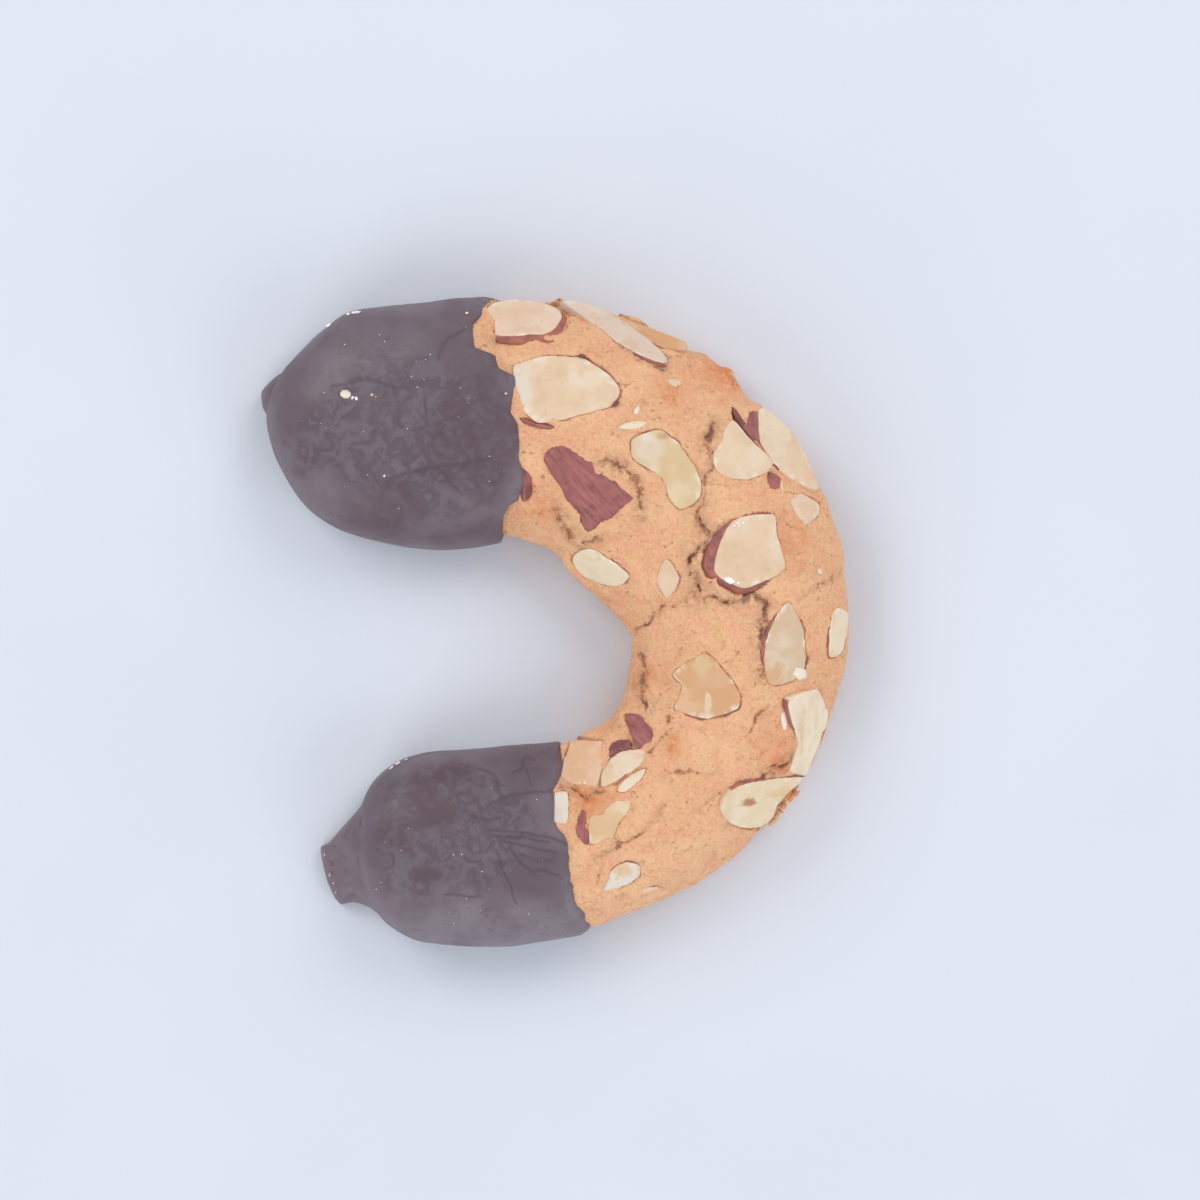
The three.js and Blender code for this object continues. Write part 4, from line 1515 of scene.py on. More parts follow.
@dataclass
class ChocolateCoat:
    """Chocolate on one arm: a coat over the strip's tip with a rounded wavy rim, and its tail."""

    name: str
    strip: DoughStrip
    rim: Rim
    at_start: bool
    tail: ChocolateTail
    wrinkles: tuple[Wrinkle, ...]
    smear: Smear
    blushes: tuple[Smear, ...]
    # Stretch along the outer edge that takes a painted sheen of reflected light.
    bloom: Smear
    tip_rows: int = 44
    body_rows: int = 130
    rim_run: float = 1.5
    rim_power: float = 0.6
    tuck: float = 1.2
    dome_steps: int = 190
    edge_steps: int = 10
    base_steps: int = 16
    lump: float = 0.22
    lump_grain: Grain = Grain(11.0, 2, 51)
    ripple: float = 0.05
    ripple_grain: Grain = Grain(2.6, 2, 52)
    wrinkle_wander: float = 0.35
    tail_lumps: float = 0.08

    def rings(self) -> tuple[Field, Field, Field]:
        """Rings from the tip to the rim, and a last ring tucked into the dough.

        The coat's thickness is full up to the rim's run, then falls as a power of the gap to the
        rim.

        Returns:
            The points, the gap to the rim along the strip, and the rise of each point.
        """
        across, rise = self.strip.section(self.dome_steps, self.edge_steps, self.base_steps)
        coat = self.strip.coat
        length = (self.strip.upper_tip if self.at_start else self.strip.lower_tip).length
        turn = np.linspace(math.radians(2), np.pi / 2, self.tip_rows)
        tip = ((length + coat) * (1.0 - np.cos(turn)) - coat)[:, None]
        wavy = self.rim.wavy(self.strip, across, rise)
        reach = wavy if self.at_start else self.strip.length - wavy
        share = 1.0 - (1.0 - np.linspace(0.0, 1.0, self.body_rows + 1)[1:]) ** 1.7
        body = length + share[:, None] * (reach[None] - length)
        from_tip = np.concatenate([
            np.broadcast_to(tip, (self.tip_rows, len(across))),
            body,
            reach[None] - self.tuck,
        ])
        gap = np.maximum(reach[None] - from_tip, 0.0)
        grow = coat * np.clip(gap / self.rim_run, 0.0, 1.0) ** self.rim_power
        grow[-1] = -self.tuck
        distance = from_tip if self.at_start else self.strip.length - from_tip
        points = self.strip.skin(distance, across[None], rise[None], grow)
        rises = np.broadcast_to(rise, gap.shape)
        if self.at_start:
            return points, gap, rises
        return points[::-1], gap[::-1], rises[::-1]

    def relief(self, points: Field) -> tuple[Field, Field]:
        """Height of lumps, fine ripples and wrinkles at each point, in mm.

        Args:
            points: points of the coat in mm, with the coordinate last.

        Returns:
            The heights, and how far in a wrinkle each point lies, 0 to 1.
        """
        height = self.lump * self.lump_grain.at(points) + self.ripple * self.ripple_grain.at(points)
        flat = points.reshape(-1, 3)
        wander = np.stack([Grain(3.0, 1, 53).at(flat), Grain(3.0, 1, 54).at(flat)], axis=-1)
        plan = flat[:, :2] + self.wrinkle_wander * wander
        folds = np.zeros(len(flat))
        inside = np.zeros(len(flat))
        for wrinkle in self.wrinkles:
            near = np.exp(-((gap_to_path(plan, wrinkle.path) / (0.5 * wrinkle.width)) ** 2))
            folds += wrinkle.height * near
            inside = np.maximum(inside, near)
        return height + folds.reshape(height.shape), inside.reshape(height.shape)

    def make(self) -> bpy.types.Object:
        """Makes the coat's mesh object with its tail.

        Returns:
            The new object.
        """
        points, gap, rises = self.rings()
        normals = ring_normals(points)
        weight = smoothstep(rises, -0.8, 0.1) * smoothstep(gap, 0.2, 2.5)
        height, folded = self.relief(points)
        points = points + normals * (height * weight)[..., None]
        points[..., 2] = np.maximum(points[..., 2], 0.0)
        tail = self.tail.rings()
        tail[..., 2] *= 1.0 + self.tail_lumps * Grain(4.0, 2, 57).at(tail)
        shell = Shell()
        for surface, fold in ((points, folded), (tail, np.zeros(tail.shape[:2]))):
            shell.add_rings(
                surface,
                fold=fold,
                smear=self.smear.cover(surface),
                blush=np.max([blush.cover(surface) for blush in self.blushes], axis=0),
                bloom=self.bloom.cover(surface),
            )
        return shell.make_object(self.name, ChocolateFinish().material())


UPPER_WRINKLES: tuple[Wrinkle, ...] = (
    Wrinkle(((-21.6, 48.7), (-20.1, 52.1), (-16.9, 53.9)), 0.7, -0.1),
    Wrinkle(((-41.0, 43.2), (-34.7, 44.7), (-29.0, 43.0)), 0.8, -0.09),
    Wrinkle(((-21.9, 28.6), (-17.3, 23.6)), 0.6, -0.12),
    Wrinkle(((-30.1, 26.7), (-21.6, 28.6), (-12.0, 30.0)), 0.9, 0.05),
    Wrinkle(((-24.3, 41.2), (-23.8, 36.0)), 0.7, -0.1),
)
LOWER_WRINKLES: tuple[Wrinkle, ...] = (
    Wrinkle(((-12.5, -33.9), (-8.8, -31.8), (-4.4, -30.8), (-0.7, -31.0)), 0.55, -0.14),
    Wrinkle(((-12.5, -38.3), (-6.6, -38.4), (-2.2, -39.1), (1.8, -40.6)), 0.6, -0.14),
    Wrinkle(((-11.5, -39.2), (-5.6, -39.3), (-1.4, -40.2)), 0.7, 0.12),
    Wrinkle(((-9.6, -40.1), (-4.4, -41.2), (0.2, -42.2)), 0.6, -0.14),
    Wrinkle(((-8.8, -41.2), (-6.6, -43.8), (-4.4, -45.5), (-2.2, -45.3), (0.4, -46.2)), 0.6, -0.14),
    Wrinkle(((-6.6, -42.4), (-3.6, -43.6), (-0.6, -43.4)), 0.5, -0.09),
    Wrinkle(((-10.7, -41.9), (-9.6, -45.3), (-7.2, -51.4)), 0.5, -0.16),
    Wrinkle(
        ((-4.1, -25.1), (-5.5, -24.7), (-6.1, -25.6), (-5.8, -26.7), (-7.9, -27.4)),
        0.5, -0.12,
    ),
    Wrinkle(((-5.3, -26.9), (-4.6, -29.6)), 0.45, -0.09),
    Wrinkle(((-20.3, -50.0), (-17.0, -50.4), (-13.6, -49.8)), 0.5, -0.12),
    Wrinkle(((-14.2, -26.6), (-11.4, -28.2), (-10.6, -30.4)), 0.5, -0.08),
    Wrinkle(((-15.6, -35.4), (-12.8, -36.2), (-9.4, -35.8)), 0.5, -0.08),
)
UPPER_TAIL = ChocolateTail(
    ((-46.0, 47.0), (-51.2, 45.6), (-54.2, 43.0), (-54.1, 40.5), (-52.8, 39.0), (-46.0, 39.0)),
    inward=(0.97, -0.24), low=5.2, high=8.0, run=5.0,
)
LOWER_TAIL = ChocolateTail(
    (
        (-31.5, -36.0), (-34.3, -32.5), (-37.4, -36.4), (-39.6, -39.1), (-41.7, -41.5),
        (-43.2, -42.1), (-43.1, -43.7), (-42.2, -47.6), (-41.0, -50.6), (-39.9, -51.9),
        (-38.1, -51.4), (-36.4, -51.7), (-34.7, -52.5), (-32.6, -54.2), (-30.5, -51.0),
    ),
    inward=(0.97, 0.24), low=4.2, high=11.0, run=9.0,
)
UPPER_SMEAR = Smear((-28.6, 34.5), (21.5, 14.5))
UPPER_BLUSHES = (
    Smear((-14.0, 34.0), (10.0, 14.0), fade=0.4, strength=0.8),
    Smear((-32.0, 21.5), (8.5, 6.0), fade=0.4, strength=0.8),
)
# Painted sheen: a paler grey along the upper coat's outer edge, where it reflects the light.
UPPER_PAINTED_SHEEN = Smear((-34.0, 52.0), (17.0, 7.0), 14.0, fade=0.7, strength=0.35)
LOWER_SMEAR = Smear((-19.5, -39.0), (15.0, 12.0))
LOWER_BLUSHES = (
    Smear((-21.0, -31.5), (8.5, 7.5), fade=0.5),
    Smear((-29.0, -39.0), (6.5, 5.0), fade=0.5, strength=0.7),
    Smear((-24.0, -46.4), (3.4, 1.6), fade=0.5),
)
# Painted sheen: a paler grey along the lower coat's outer edge, where it reflects the light.
LOWER_PAINTED_SHEEN = Smear((-12.0, -57.0), (24.0, 9.0), 4.0, fade=0.7)


@dataclass(frozen=True)
class Crumb:
    """Loose crumb or chip: place in plan, size along, across and up, turn in degrees, and tone."""

    place: tuple[float, float]
    size: tuple[float, float, float]
    turn: float
    tone: Tone = Tone.FROST
    sides: int = 6


CRUMBS: tuple[Crumb, ...] = (
    Crumb((-38.6, 41.9), (2.2, 1.5, 0.8), -15, Tone.WHITE, 8),
    Crumb((-37.3, 41.2), (0.8, 0.5, 0.4), 60),
    Crumb((-36.6, 41.1), (0.6, 0.9, 0.4), 20, Tone.FROST, 5),
    Crumb((-37.1, 57.3), (1.9, 0.6, 0.5), 12),
    Crumb((-38.5, 57.0), (0.8, 0.5, 0.4), 40),
    Crumb((-42.2, 55.0), (1.2, 0.7, 0.5), 35),
    Crumb((-30.6, -26.9), (1.1, 0.35, 0.35), 40),
    Crumb((-29.4, -26.1), (1.3, 0.4, 0.35), 30),
    Crumb((-27.9, -25.4), (0.7, 0.3, 0.3), 25),
    Crumb((44.1, -28.4), (3.4, 0.6, 0.5), 0, Tone.SKIN),
    Crumb((-33.7, 41.7), (0.8, 0.6, 0.4), 20, Tone.GOLD),
    Crumb((-33.0, 41.4), (0.5, 0.4, 0.3), -30, Tone.AMBER),
    Crumb((-16.5, 57.0), (0.7, 0.5, 0.4), 15, Tone.WHITE),
    Crumb((-31.5, 26.9), (0.5, 0.5, 0.3), 0, Tone.WHITE),
    Crumb((-9.2, 42.0), (0.5, 0.4, 0.3), 0, Tone.WHITE),
    Crumb((44.8, -9.4), (3.2, 2.4, 0.6), -25, Tone.WHITE, 5),
    Crumb((14.8, 38.9), (1.7, 1.0, 0.6), 70, Tone.WHITE, 8),
    Crumb((13.9, 36.3), (5.2, 1.7, 0.6), 10, Tone.PEARL, 8),
    Crumb((32.7, 17.8), (0.6, 0.4, 0.2), 10),
    Crumb((33.3, 18.3), (0.5, 0.4, 0.2), -35, Tone.FROST, 5),
    Crumb((33.6, 17.7), (0.7, 0.4, 0.2), 40),
    Crumb((34.3, 18.3), (0.6, 0.4, 0.2), 20, Tone.FROST, 5),
    Crumb((31.7, 7.8), (2.3, 1.3, 0.25), -12, Tone.FROST, 5),
    Crumb((33.4, 7.3), (0.6, 0.5, 0.2), 15),
    Crumb((47.0, 11.4), (1.6, 1.1, 0.4), 40, Tone.GOLD),
    Crumb((48.5, 9.4), (1.3, 1.0, 0.4), -50, Tone.IVORY),
    Crumb((17.2, -49.2), (4.0, 0.9, 0.3), 10, Tone.BLUSH, 8),
    Crumb((41.9, -18.0), (1.3, 4.8, 0.6), 5, Tone.WHITE),
    Crumb((41.5, 25.1), (0.7, 3.4, 0.5), 8, Tone.CREAM),
    Crumb((44.2, -31.6), (1.6, 1.1, 0.9), 30, Tone.TOASTED, 7),
    Crumb((43.4, -32.3), (2.0, 1.3, 1.1), 60, Tone.TOASTED, 7),
    Crumb((42.7, -33.1), (1.3, 1.0, 0.8), 10, Tone.GOLD),
    Crumb((42.0, -33.9), (1.6, 1.1, 0.9), 55, Tone.TOASTED, 7),
    Crumb((41.5, -35.0), (1.1, 0.9, 0.7), -20, Tone.AMBER),
    Crumb((41.0, -35.9), (1.5, 1.0, 0.7), 70, Tone.GOLD, 7),
    Crumb((40.2, -36.9), (2.2, 1.0, 0.7), 45, Tone.GOLD, 8),
    Crumb((4.9, 49.0), (1.5, 0.7, 1.3), -15, Tone.DARK_SKIN, 7),
    Crumb((11.0, 40.1), (1.6, 0.9, 1.3), 40, Tone.DARK_SKIN, 7),
)


@dataclass
class Crumbs:
    """Loose crumbs on the horn: larger ones by place, and fine specks strewn on the chocolate."""

    strip: DoughStrip
    ground: Field
    specks: int = 46
    speck_size: tuple[float, float] = (0.12, 0.3)
    fringe: tuple[tuple[float, float], tuple[float, float]] = ((-43.6, -43.2), (-41.0, -51.4))
    fringe_crumbs: int = 30
    fringe_width: float = 1.3
    fringe_size: tuple[float, float] = (0.2, 0.6)
    seed: int = 7
    rows: int = 5
    pole_turn: float = 0.15
    unevenness: float = 0.3
    raise_share: float = 0.15

    def lump(self, crumb: Crumb, height: float, slope: Field, seed: int) -> Field:
        """Rings of one crumb: an oval lump whose skin is moved in and out at random.

        Args:
            crumb: the crumb.
            height: height of what it lies on, in mm.
            slope: slope of what it lies on, along x and y.
            seed: seed of its random form.

        Returns:
            The points, ring by ring from the top down.
        """
        fall = np.linspace(self.pole_turn, np.pi - self.pole_turn, self.rows)[:, None]
        turn = np.linspace(0.0, -2.0 * np.pi, crumb.sides, endpoint=False)[None]
        ball = np.stack([
            np.sin(fall) * np.cos(turn),
            np.sin(fall) * np.sin(turn),
            np.broadcast_to(np.cos(fall), (self.rows, crumb.sides)),
        ], axis=-1)
        ball = ball * (1.0 + self.unevenness * Grain(1.1, 2, seed).at(ball + seed))[..., None]
        local = ball * np.array(crumb.size) / 2.0
        angle = math.radians(crumb.turn)
        x = local[..., 0] * math.cos(angle) - local[..., 1] * math.sin(angle)
        y = local[..., 0] * math.sin(angle) + local[..., 1] * math.cos(angle)
        up = height + local[..., 2] + self.raise_share * crumb.size[2]
        z = up + x * slope[0] + y * slope[1]
        return np.stack([x + crumb.place[0], y + crumb.place[1], z], axis=-1)

    def strewn(self) -> list[Crumb]:
        """Fine specks at seeded random places on the two coats of chocolate.

        Returns:
            The specks.
        """
        draw = np.random.default_rng(self.seed)
        upper = draw.random(self.specks) < 0.6
        near_upper = draw.uniform(4.0, 42.0, self.specks)
        near_lower = draw.uniform(166.0, 198.0, self.specks)
        across = draw.uniform(-0.85, 0.85, self.specks)
        distance = np.where(upper, near_upper, near_lower)
        place = self.strip.skin(distance, across, np.zeros(1), np.zeros(1))
        size = draw.uniform(*self.speck_size, self.specks)
        turn = draw.uniform(0.0, 180.0, self.specks)
        return [
            Crumb((p[0], p[1]), (s, 0.7 * s, 0.6 * s), angle)
            for p, s, angle in zip(place.tolist(), size.tolist(), turn.tolist())
        ]

    def fringed(self) -> list[Crumb]:
        """Brown and pale crumbs at seeded random places along the lower tail's outer edge.

        Returns:
            The crumbs.
        """
        draw = np.random.default_rng(self.seed + 1)
        start, end = np.array(self.fringe)
        share = draw.random((self.fringe_crumbs, 1))
        inset = draw.uniform(0.0, self.fringe_width, (self.fringe_crumbs, 1))
        place = start + share * (end - start) + inset * np.array([1.0, 0.0])
        size = draw.uniform(*self.fringe_size, self.fringe_crumbs)
        turn = draw.uniform(60.0, 120.0, self.fringe_crumbs)
        tones = (Tone.SKIN, Tone.DARK_SKIN, Tone.SKIN, Tone.RUSSET, Tone.WHITE)
        return [
            Crumb((p[0], p[1]), (s, 0.6 * s, 0.4 * s), angle, tones[k % len(tones)])
            for k, (p, s, angle) in enumerate(zip(place.tolist(), size.tolist(), turn.tolist()))
        ]

    def height_under(self, crumb: Crumb) -> float:
        """Height of what lies under a crumb: the middle height of the ground within its reach.

        Args:
            crumb: the crumb.

        Returns:
            The height in mm.
        """
        reach = 0.3 + 0.3 * min(crumb.size[0], crumb.size[1])
        gap = np.linalg.norm(self.ground[:, :2] - np.array(crumb.place), axis=1)
        near = self.ground[gap < reach, 2]
        return float(np.median(near[near > near.max() - 1.0]))

    def make(self) -> bpy.types.Object:
        """Makes all the crumbs as one mesh object.

        Returns:
            The new object.
        """
        shell = Shell()
        for seed, crumb in enumerate([*CRUMBS, *self.strewn(), *self.fringed()]):
            slope = self.strip.crust_slope(np.array(crumb.place))
            points = self.lump(crumb, self.height_under(crumb), slope, seed + 300)
            tone = np.broadcast_to(np.array(crumb.tone.value[:3]), points.shape)
            shell.add_rings(points, tone=tone)
        return shell.make_object("crumbs", SliceFinish("crumb").material(), smooth=False)


class Joining(Enum):
    """Way in which two values of a material become one."""

    PRODUCT = "MULTIPLY"
    LARGER = "MAXIMUM"
    SUM = "ADD"
    DIFFERENCE = "SUBTRACT"


class FinishBench:
    """Nodes of one material, added and joined by short calls."""

    def __init__(self, name: str) -> None:
        """Starts an empty material with object coordinates at hand.

        Args:
            name: the material's name.
        """
        self.result = bpy.data.materials.new(name)
        self.result.use_nodes = True
        self.tree = self.result.node_tree
        self.tree.nodes.clear()
        self.place = self.add("ShaderNodeTexCoord").outputs["Object"]

    def add(self, kind: str, inputs: dict | None = None, **settings) -> bpy.types.Node:
        """Adds a node.

        Args:
            kind: the node's type.
            inputs: sockets to link, or values to set, by socket name or number.
            settings: the node's own properties.

        Returns:
            The new node.
        """
        node = self.tree.nodes.new(kind)
        for key, value in settings.items():
            setattr(node, key, value)
        for key, value in (inputs or {}).items():
            if isinstance(value, Socket):
                self.tree.links.new(value, node.inputs[key])
            else:
                node.inputs[key].default_value = value
        return node

    def mark(self, name: str, output: str = "Fac") -> Socket:
        """A mark stored on the mesh's points."""
        return self.add("ShaderNodeAttribute", attribute_name=name).outputs[output]

    def noise(
        self, size_mm: float, detail: float = 3.0, place: Socket | None = None, swirl: float = 0.0
    ) -> Socket:
        """Random field.

        Args:
            size_mm: size of its features in mm.
            detail: how many finer octaves it has.
            place: where it is read, the object's own coordinates if not given.
            swirl: how far it is drawn out in swirls.

        Returns:
            The field, about 0.3 to 0.7.
        """
        inputs = {
            "Vector": place or self.place,
            "Scale": 1.0 / (size_mm * MM),
            "Detail": detail,
            "Roughness": 0.55,
            "Distortion": swirl,
        }
        return self.add("ShaderNodeTexNoise", inputs).outputs["Fac"]

    def hairs(self, size_mm: float, width: float) -> Socket:
        """Fine wandering lines, where a random field is close to 0.5.

        Args:
            size_mm: size of the field's features in mm.
            width: how far the field is from 0.5 at a line's edge.

        Returns:
            A value that is 1 on the lines and 0 beside them.
        """
        from_middle = self.join(Joining.DIFFERENCE, self.noise(size_mm, 3.0), 0.5)
        away = self.add("ShaderNodeMath", {0: from_middle}, operation="ABSOLUTE")
        return self.band(away.outputs["Value"], width, 0.25 * width)

    def rescale(
        self, value: Socket, low: float, high: float, start: float, end: float, kind: str = "LINEAR"
    ) -> Socket:
        """Rise from a start value, where the value is low, to an end value where it is high."""
        inputs = {"Value": value, "From Min": low, "From Max": high, "To Min": start, "To Max": end}
        return self.add("ShaderNodeMapRange", inputs, interpolation_type=kind).outputs["Result"]

    def band(self, value: Socket, low: float, high: float, top: float = 1.0) -> Socket:
        """Smooth rise from 0 at low to a top value at high."""
        return self.rescale(value, low, high, 0.0, top, "SMOOTHSTEP")

    def join(self, way: Joining, first: Socket, second: Socket | float) -> Socket:
        """One value from two, in a given way."""
        node = self.add("ShaderNodeMath", {0: first, 1: second}, operation=way.value)
        return node.outputs["Value"]

    def times(self, first: Socket, second: Socket | float) -> Socket:
        """Product of two values."""
        return self.join(Joining.PRODUCT, first, second)

    def mix(self, share: Socket, first: Socket | Colour, second: Socket | Colour) -> Socket:
        """Colour that goes from the first to the second as the share goes from 0 to 1."""
        node = self.add("ShaderNodeMix", {0: share, 6: first, 7: second}, data_type="RGBA")
        return node.outputs[2]

    def bump(
        self, height: Socket, depth_mm: float, strength: float, under: Socket | None = None
    ) -> Socket:
        """Normal of a surface with a fine relief.

        Args:
            height: the relief, 0 to 1.
            depth_mm: its depth in mm.
            strength: how strongly it shows.
            under: normal of a relief that it lies on.

        Returns:
            The normal.
        """
        inputs = {"Height": height, "Distance": depth_mm * MM, "Strength": strength}
        if under:
            inputs["Normal"] = under
        return self.add("ShaderNodeBump", inputs).outputs["Normal"]

    def close(self, inputs: dict) -> bpy.types.Material:
        """Joins the surface shader to the material's output.

        Args:
            inputs: the shader's sockets to link, or values to set, by name.

        Returns:
            The material.
        """
        shader = self.add("ShaderNodeBsdfPrincipled", inputs)
        self.add("ShaderNodeOutputMaterial", {"Surface": shader.outputs["BSDF"]})
        return self.result


@dataclass(frozen=True)
class DoughFinish:
    """Baked almond dough: matte and sandy, peach to golden, with brown specks and cracks."""

    base: Colour = srgb(230, 174, 135)
    light: Colour = srgb(238, 188, 147)
    shade: Colour = srgb(203, 142, 104)
    pale: Colour = srgb(248, 196, 154)
    yellow: Colour = srgb(230, 186, 136)
    pink: Colour = srgb(237, 168, 134)
    brown: Colour = srgb(219, 140, 95)
    crumb: Colour = srgb(206, 161, 127)
    # Brown of almond-skin specks, and painted shade in hairline cracks, grooves and crack rims.
    speck_and_shade: Colour = srgb(187, 129, 95)
    # Painted shade in the cores of the cracks.
    dark: Colour = srgb(157, 115, 102)
    roughness: float = 0.85

    def material(self) -> bpy.types.Material:
        """Builds the material from its colours and the crust's marks.

        Returns:
            The material.
        """
        bench = FinishBench("baked_dough")
        broad = bench.band(bench.noise(9.0, 2.0), 0.35, 0.66)
        colour = bench.mix(broad, self.base, self.light)
        mottle = bench.band(bench.noise(2.6, 4.0), 0.5, 0.72, 0.5)
        colour = bench.mix(mottle, colour, self.shade)
        colour = bench.mix(bench.band(bench.noise(2.1, 3.0), 0.49, 0.62, 0.55), colour, self.yellow)
        colour = bench.mix(bench.band(bench.noise(3.3, 3.0), 0.51, 0.64, 0.5), colour, self.pink)
        sand = bench.noise(0.55, 2.0)
        colour = bench.mix(bench.band(sand, 0.52, 0.66, 0.55), colour, self.pale)
        colour = bench.mix(bench.band(sand, 0.45, 0.3, 0.45), colour, self.shade)
        crumb = bench.times(bench.mark("crumbly"), bench.band(bench.noise(1.2, 2.0), 0.36, 0.56))
        colour = bench.mix(crumb, colour, self.crumb)
        # Baked browning, and painted shade under one bulge.
        brown = bench.times(bench.mark("browned_and_shaded"), bench.band(bench.noise(1.6, 3.0), 0.26, 0.54))
        colour = bench.mix(brown, colour, self.brown)
        # Brown specks of almond skin, and hairline cracks darkened as painted shade.
        few = bench.band(bench.noise(4.5, 1.0), 0.57, 0.7)
        hairs = bench.times(bench.hairs(4.4, 0.016), few)
        some = bench.band(bench.noise(6.0, 1.0), 0.47, 0.62)
        specks = bench.times(bench.band(bench.noise(0.9, 1.0), 0.67, 0.75), some)
        flaws = bench.join(Joining.LARGER, hairs, specks)
        colour = bench.mix(bench.times(flaws, 0.7), colour, self.speck_and_shade)
        # Painted shade in the grooves where the dough has shrunk back from the almond pieces.
        grains = bench.rescale(bench.noise(0.75, 2.0), 0.35, 0.62, 0.35, 1.2)
        groove_shade = bench.times(bench.mark("groove_shade"), grains)
        colour = bench.mix(bench.band(groove_shade, 0.12, 0.45), colour, self.speck_and_shade)
        # Painted shade in the cracks: a darker rim, then a darkest core.
        ragged = bench.times(bench.noise(0.55, 4.0), 1.4)
        crack_shade = bench.join(Joining.SUM, bench.mark("crack_shade"), ragged)
        crack_edge_shade = bench.band(crack_shade, CLEFT_LEVEL + 0.45, CLEFT_LEVEL + 0.7, 0.85)
        colour = bench.mix(crack_edge_shade, colour, self.speck_and_shade)
        crack_core_shade = bench.band(crack_shade, CLEFT_LEVEL + 0.72, CLEFT_LEVEL + 0.92)
        colour = bench.mix(crack_core_shade, colour, self.dark)
        fine = bench.bump(sand, 0.2, 0.8)
        grain = bench.bump(bench.noise(1.1, 3.0), 0.3, 0.75, fine)
        broken = bench.join(Joining.LARGER, flaws, crack_core_shade)
        cracked = bench.bump(bench.times(broken, -1.0), 0.25, 0.7, grain)
        return bench.close({
            "Base Color": colour,
            "Roughness": self.roughness,
            "Specular IOR Level": 0.25,
            "Normal": cracked,
        })


@dataclass(frozen=True)
class SliceFinish:
    """Cut almond: matte with a faint oily sheen, in the tone marked on each piece."""

    name: str = "cut_almond"
    shade: Colour = srgb(205, 168, 126)
    roughness: float = 0.55

    def material(self) -> bpy.types.Material:
        """Builds the material from the tone marked on the pieces.

        Returns:
            The material.
        """
        bench = FinishBench(self.name)
        colour = bench.mark("tone", "Color")
        mottle = bench.band(bench.noise(1.4, 4.0), 0.54, 0.78, 0.4)
        colour = bench.mix(mottle, colour, self.shade)
        fine = bench.bump(bench.noise(0.5, 3.0), 0.08, 0.5)
        return bench.close({
            "Base Color": colour,
            "Roughness": self.roughness,
            "Specular IOR Level": 0.4,
            "Normal": fine,
        })


@dataclass(frozen=True)
class SkinFinish:
    """Almond skin: red-brown and dry, with paler lengthwise ribs."""

    rib: Colour = srgb(190, 120, 110)
    red: Colour = srgb(177, 107, 104)
    dark: Colour = srgb(124, 73, 76)
    roughness: float = 0.7

    def material(self) -> bpy.types.Material:
        """Builds the material, blotched and with streaks along each piece.

        Returns:
            The material.
        """
        bench = FinishBench("almond_skin")
        stretch = bench.times(bench.mark("along"), 0.13 * MM)
        aside = bench.times(bench.mark("aside"), MM)
        line = bench.add("ShaderNodeCombineXYZ", {"X": aside, "Y": stretch}).outputs["Vector"]
        streak = bench.noise(0.8, 3.0, line)
        blotch = bench.noise(1.8, 4.0)
        colour = bench.mark("tone", "Color")
        colour = bench.mix(bench.band(blotch, 0.44, 0.62, 0.55), colour, self.red)
        colour = bench.mix(bench.band(blotch, 0.44, 0.3, 0.55), colour, self.dark)
        colour = bench.mix(bench.band(streak, 0.52, 0.7, 0.7), colour, self.rib)
        colour = bench.mix(bench.band(streak, 0.48, 0.34, 0.6), colour, self.dark)
        grain = bench.bump(streak, 0.2, 0.6, bench.bump(bench.noise(0.4, 3.0), 0.08, 0.4))
        return bench.close({
            "Base Color": colour,
            "Roughness": self.roughness,
            "Specular IOR Level": 0.35,
            "Normal": grain,
        })


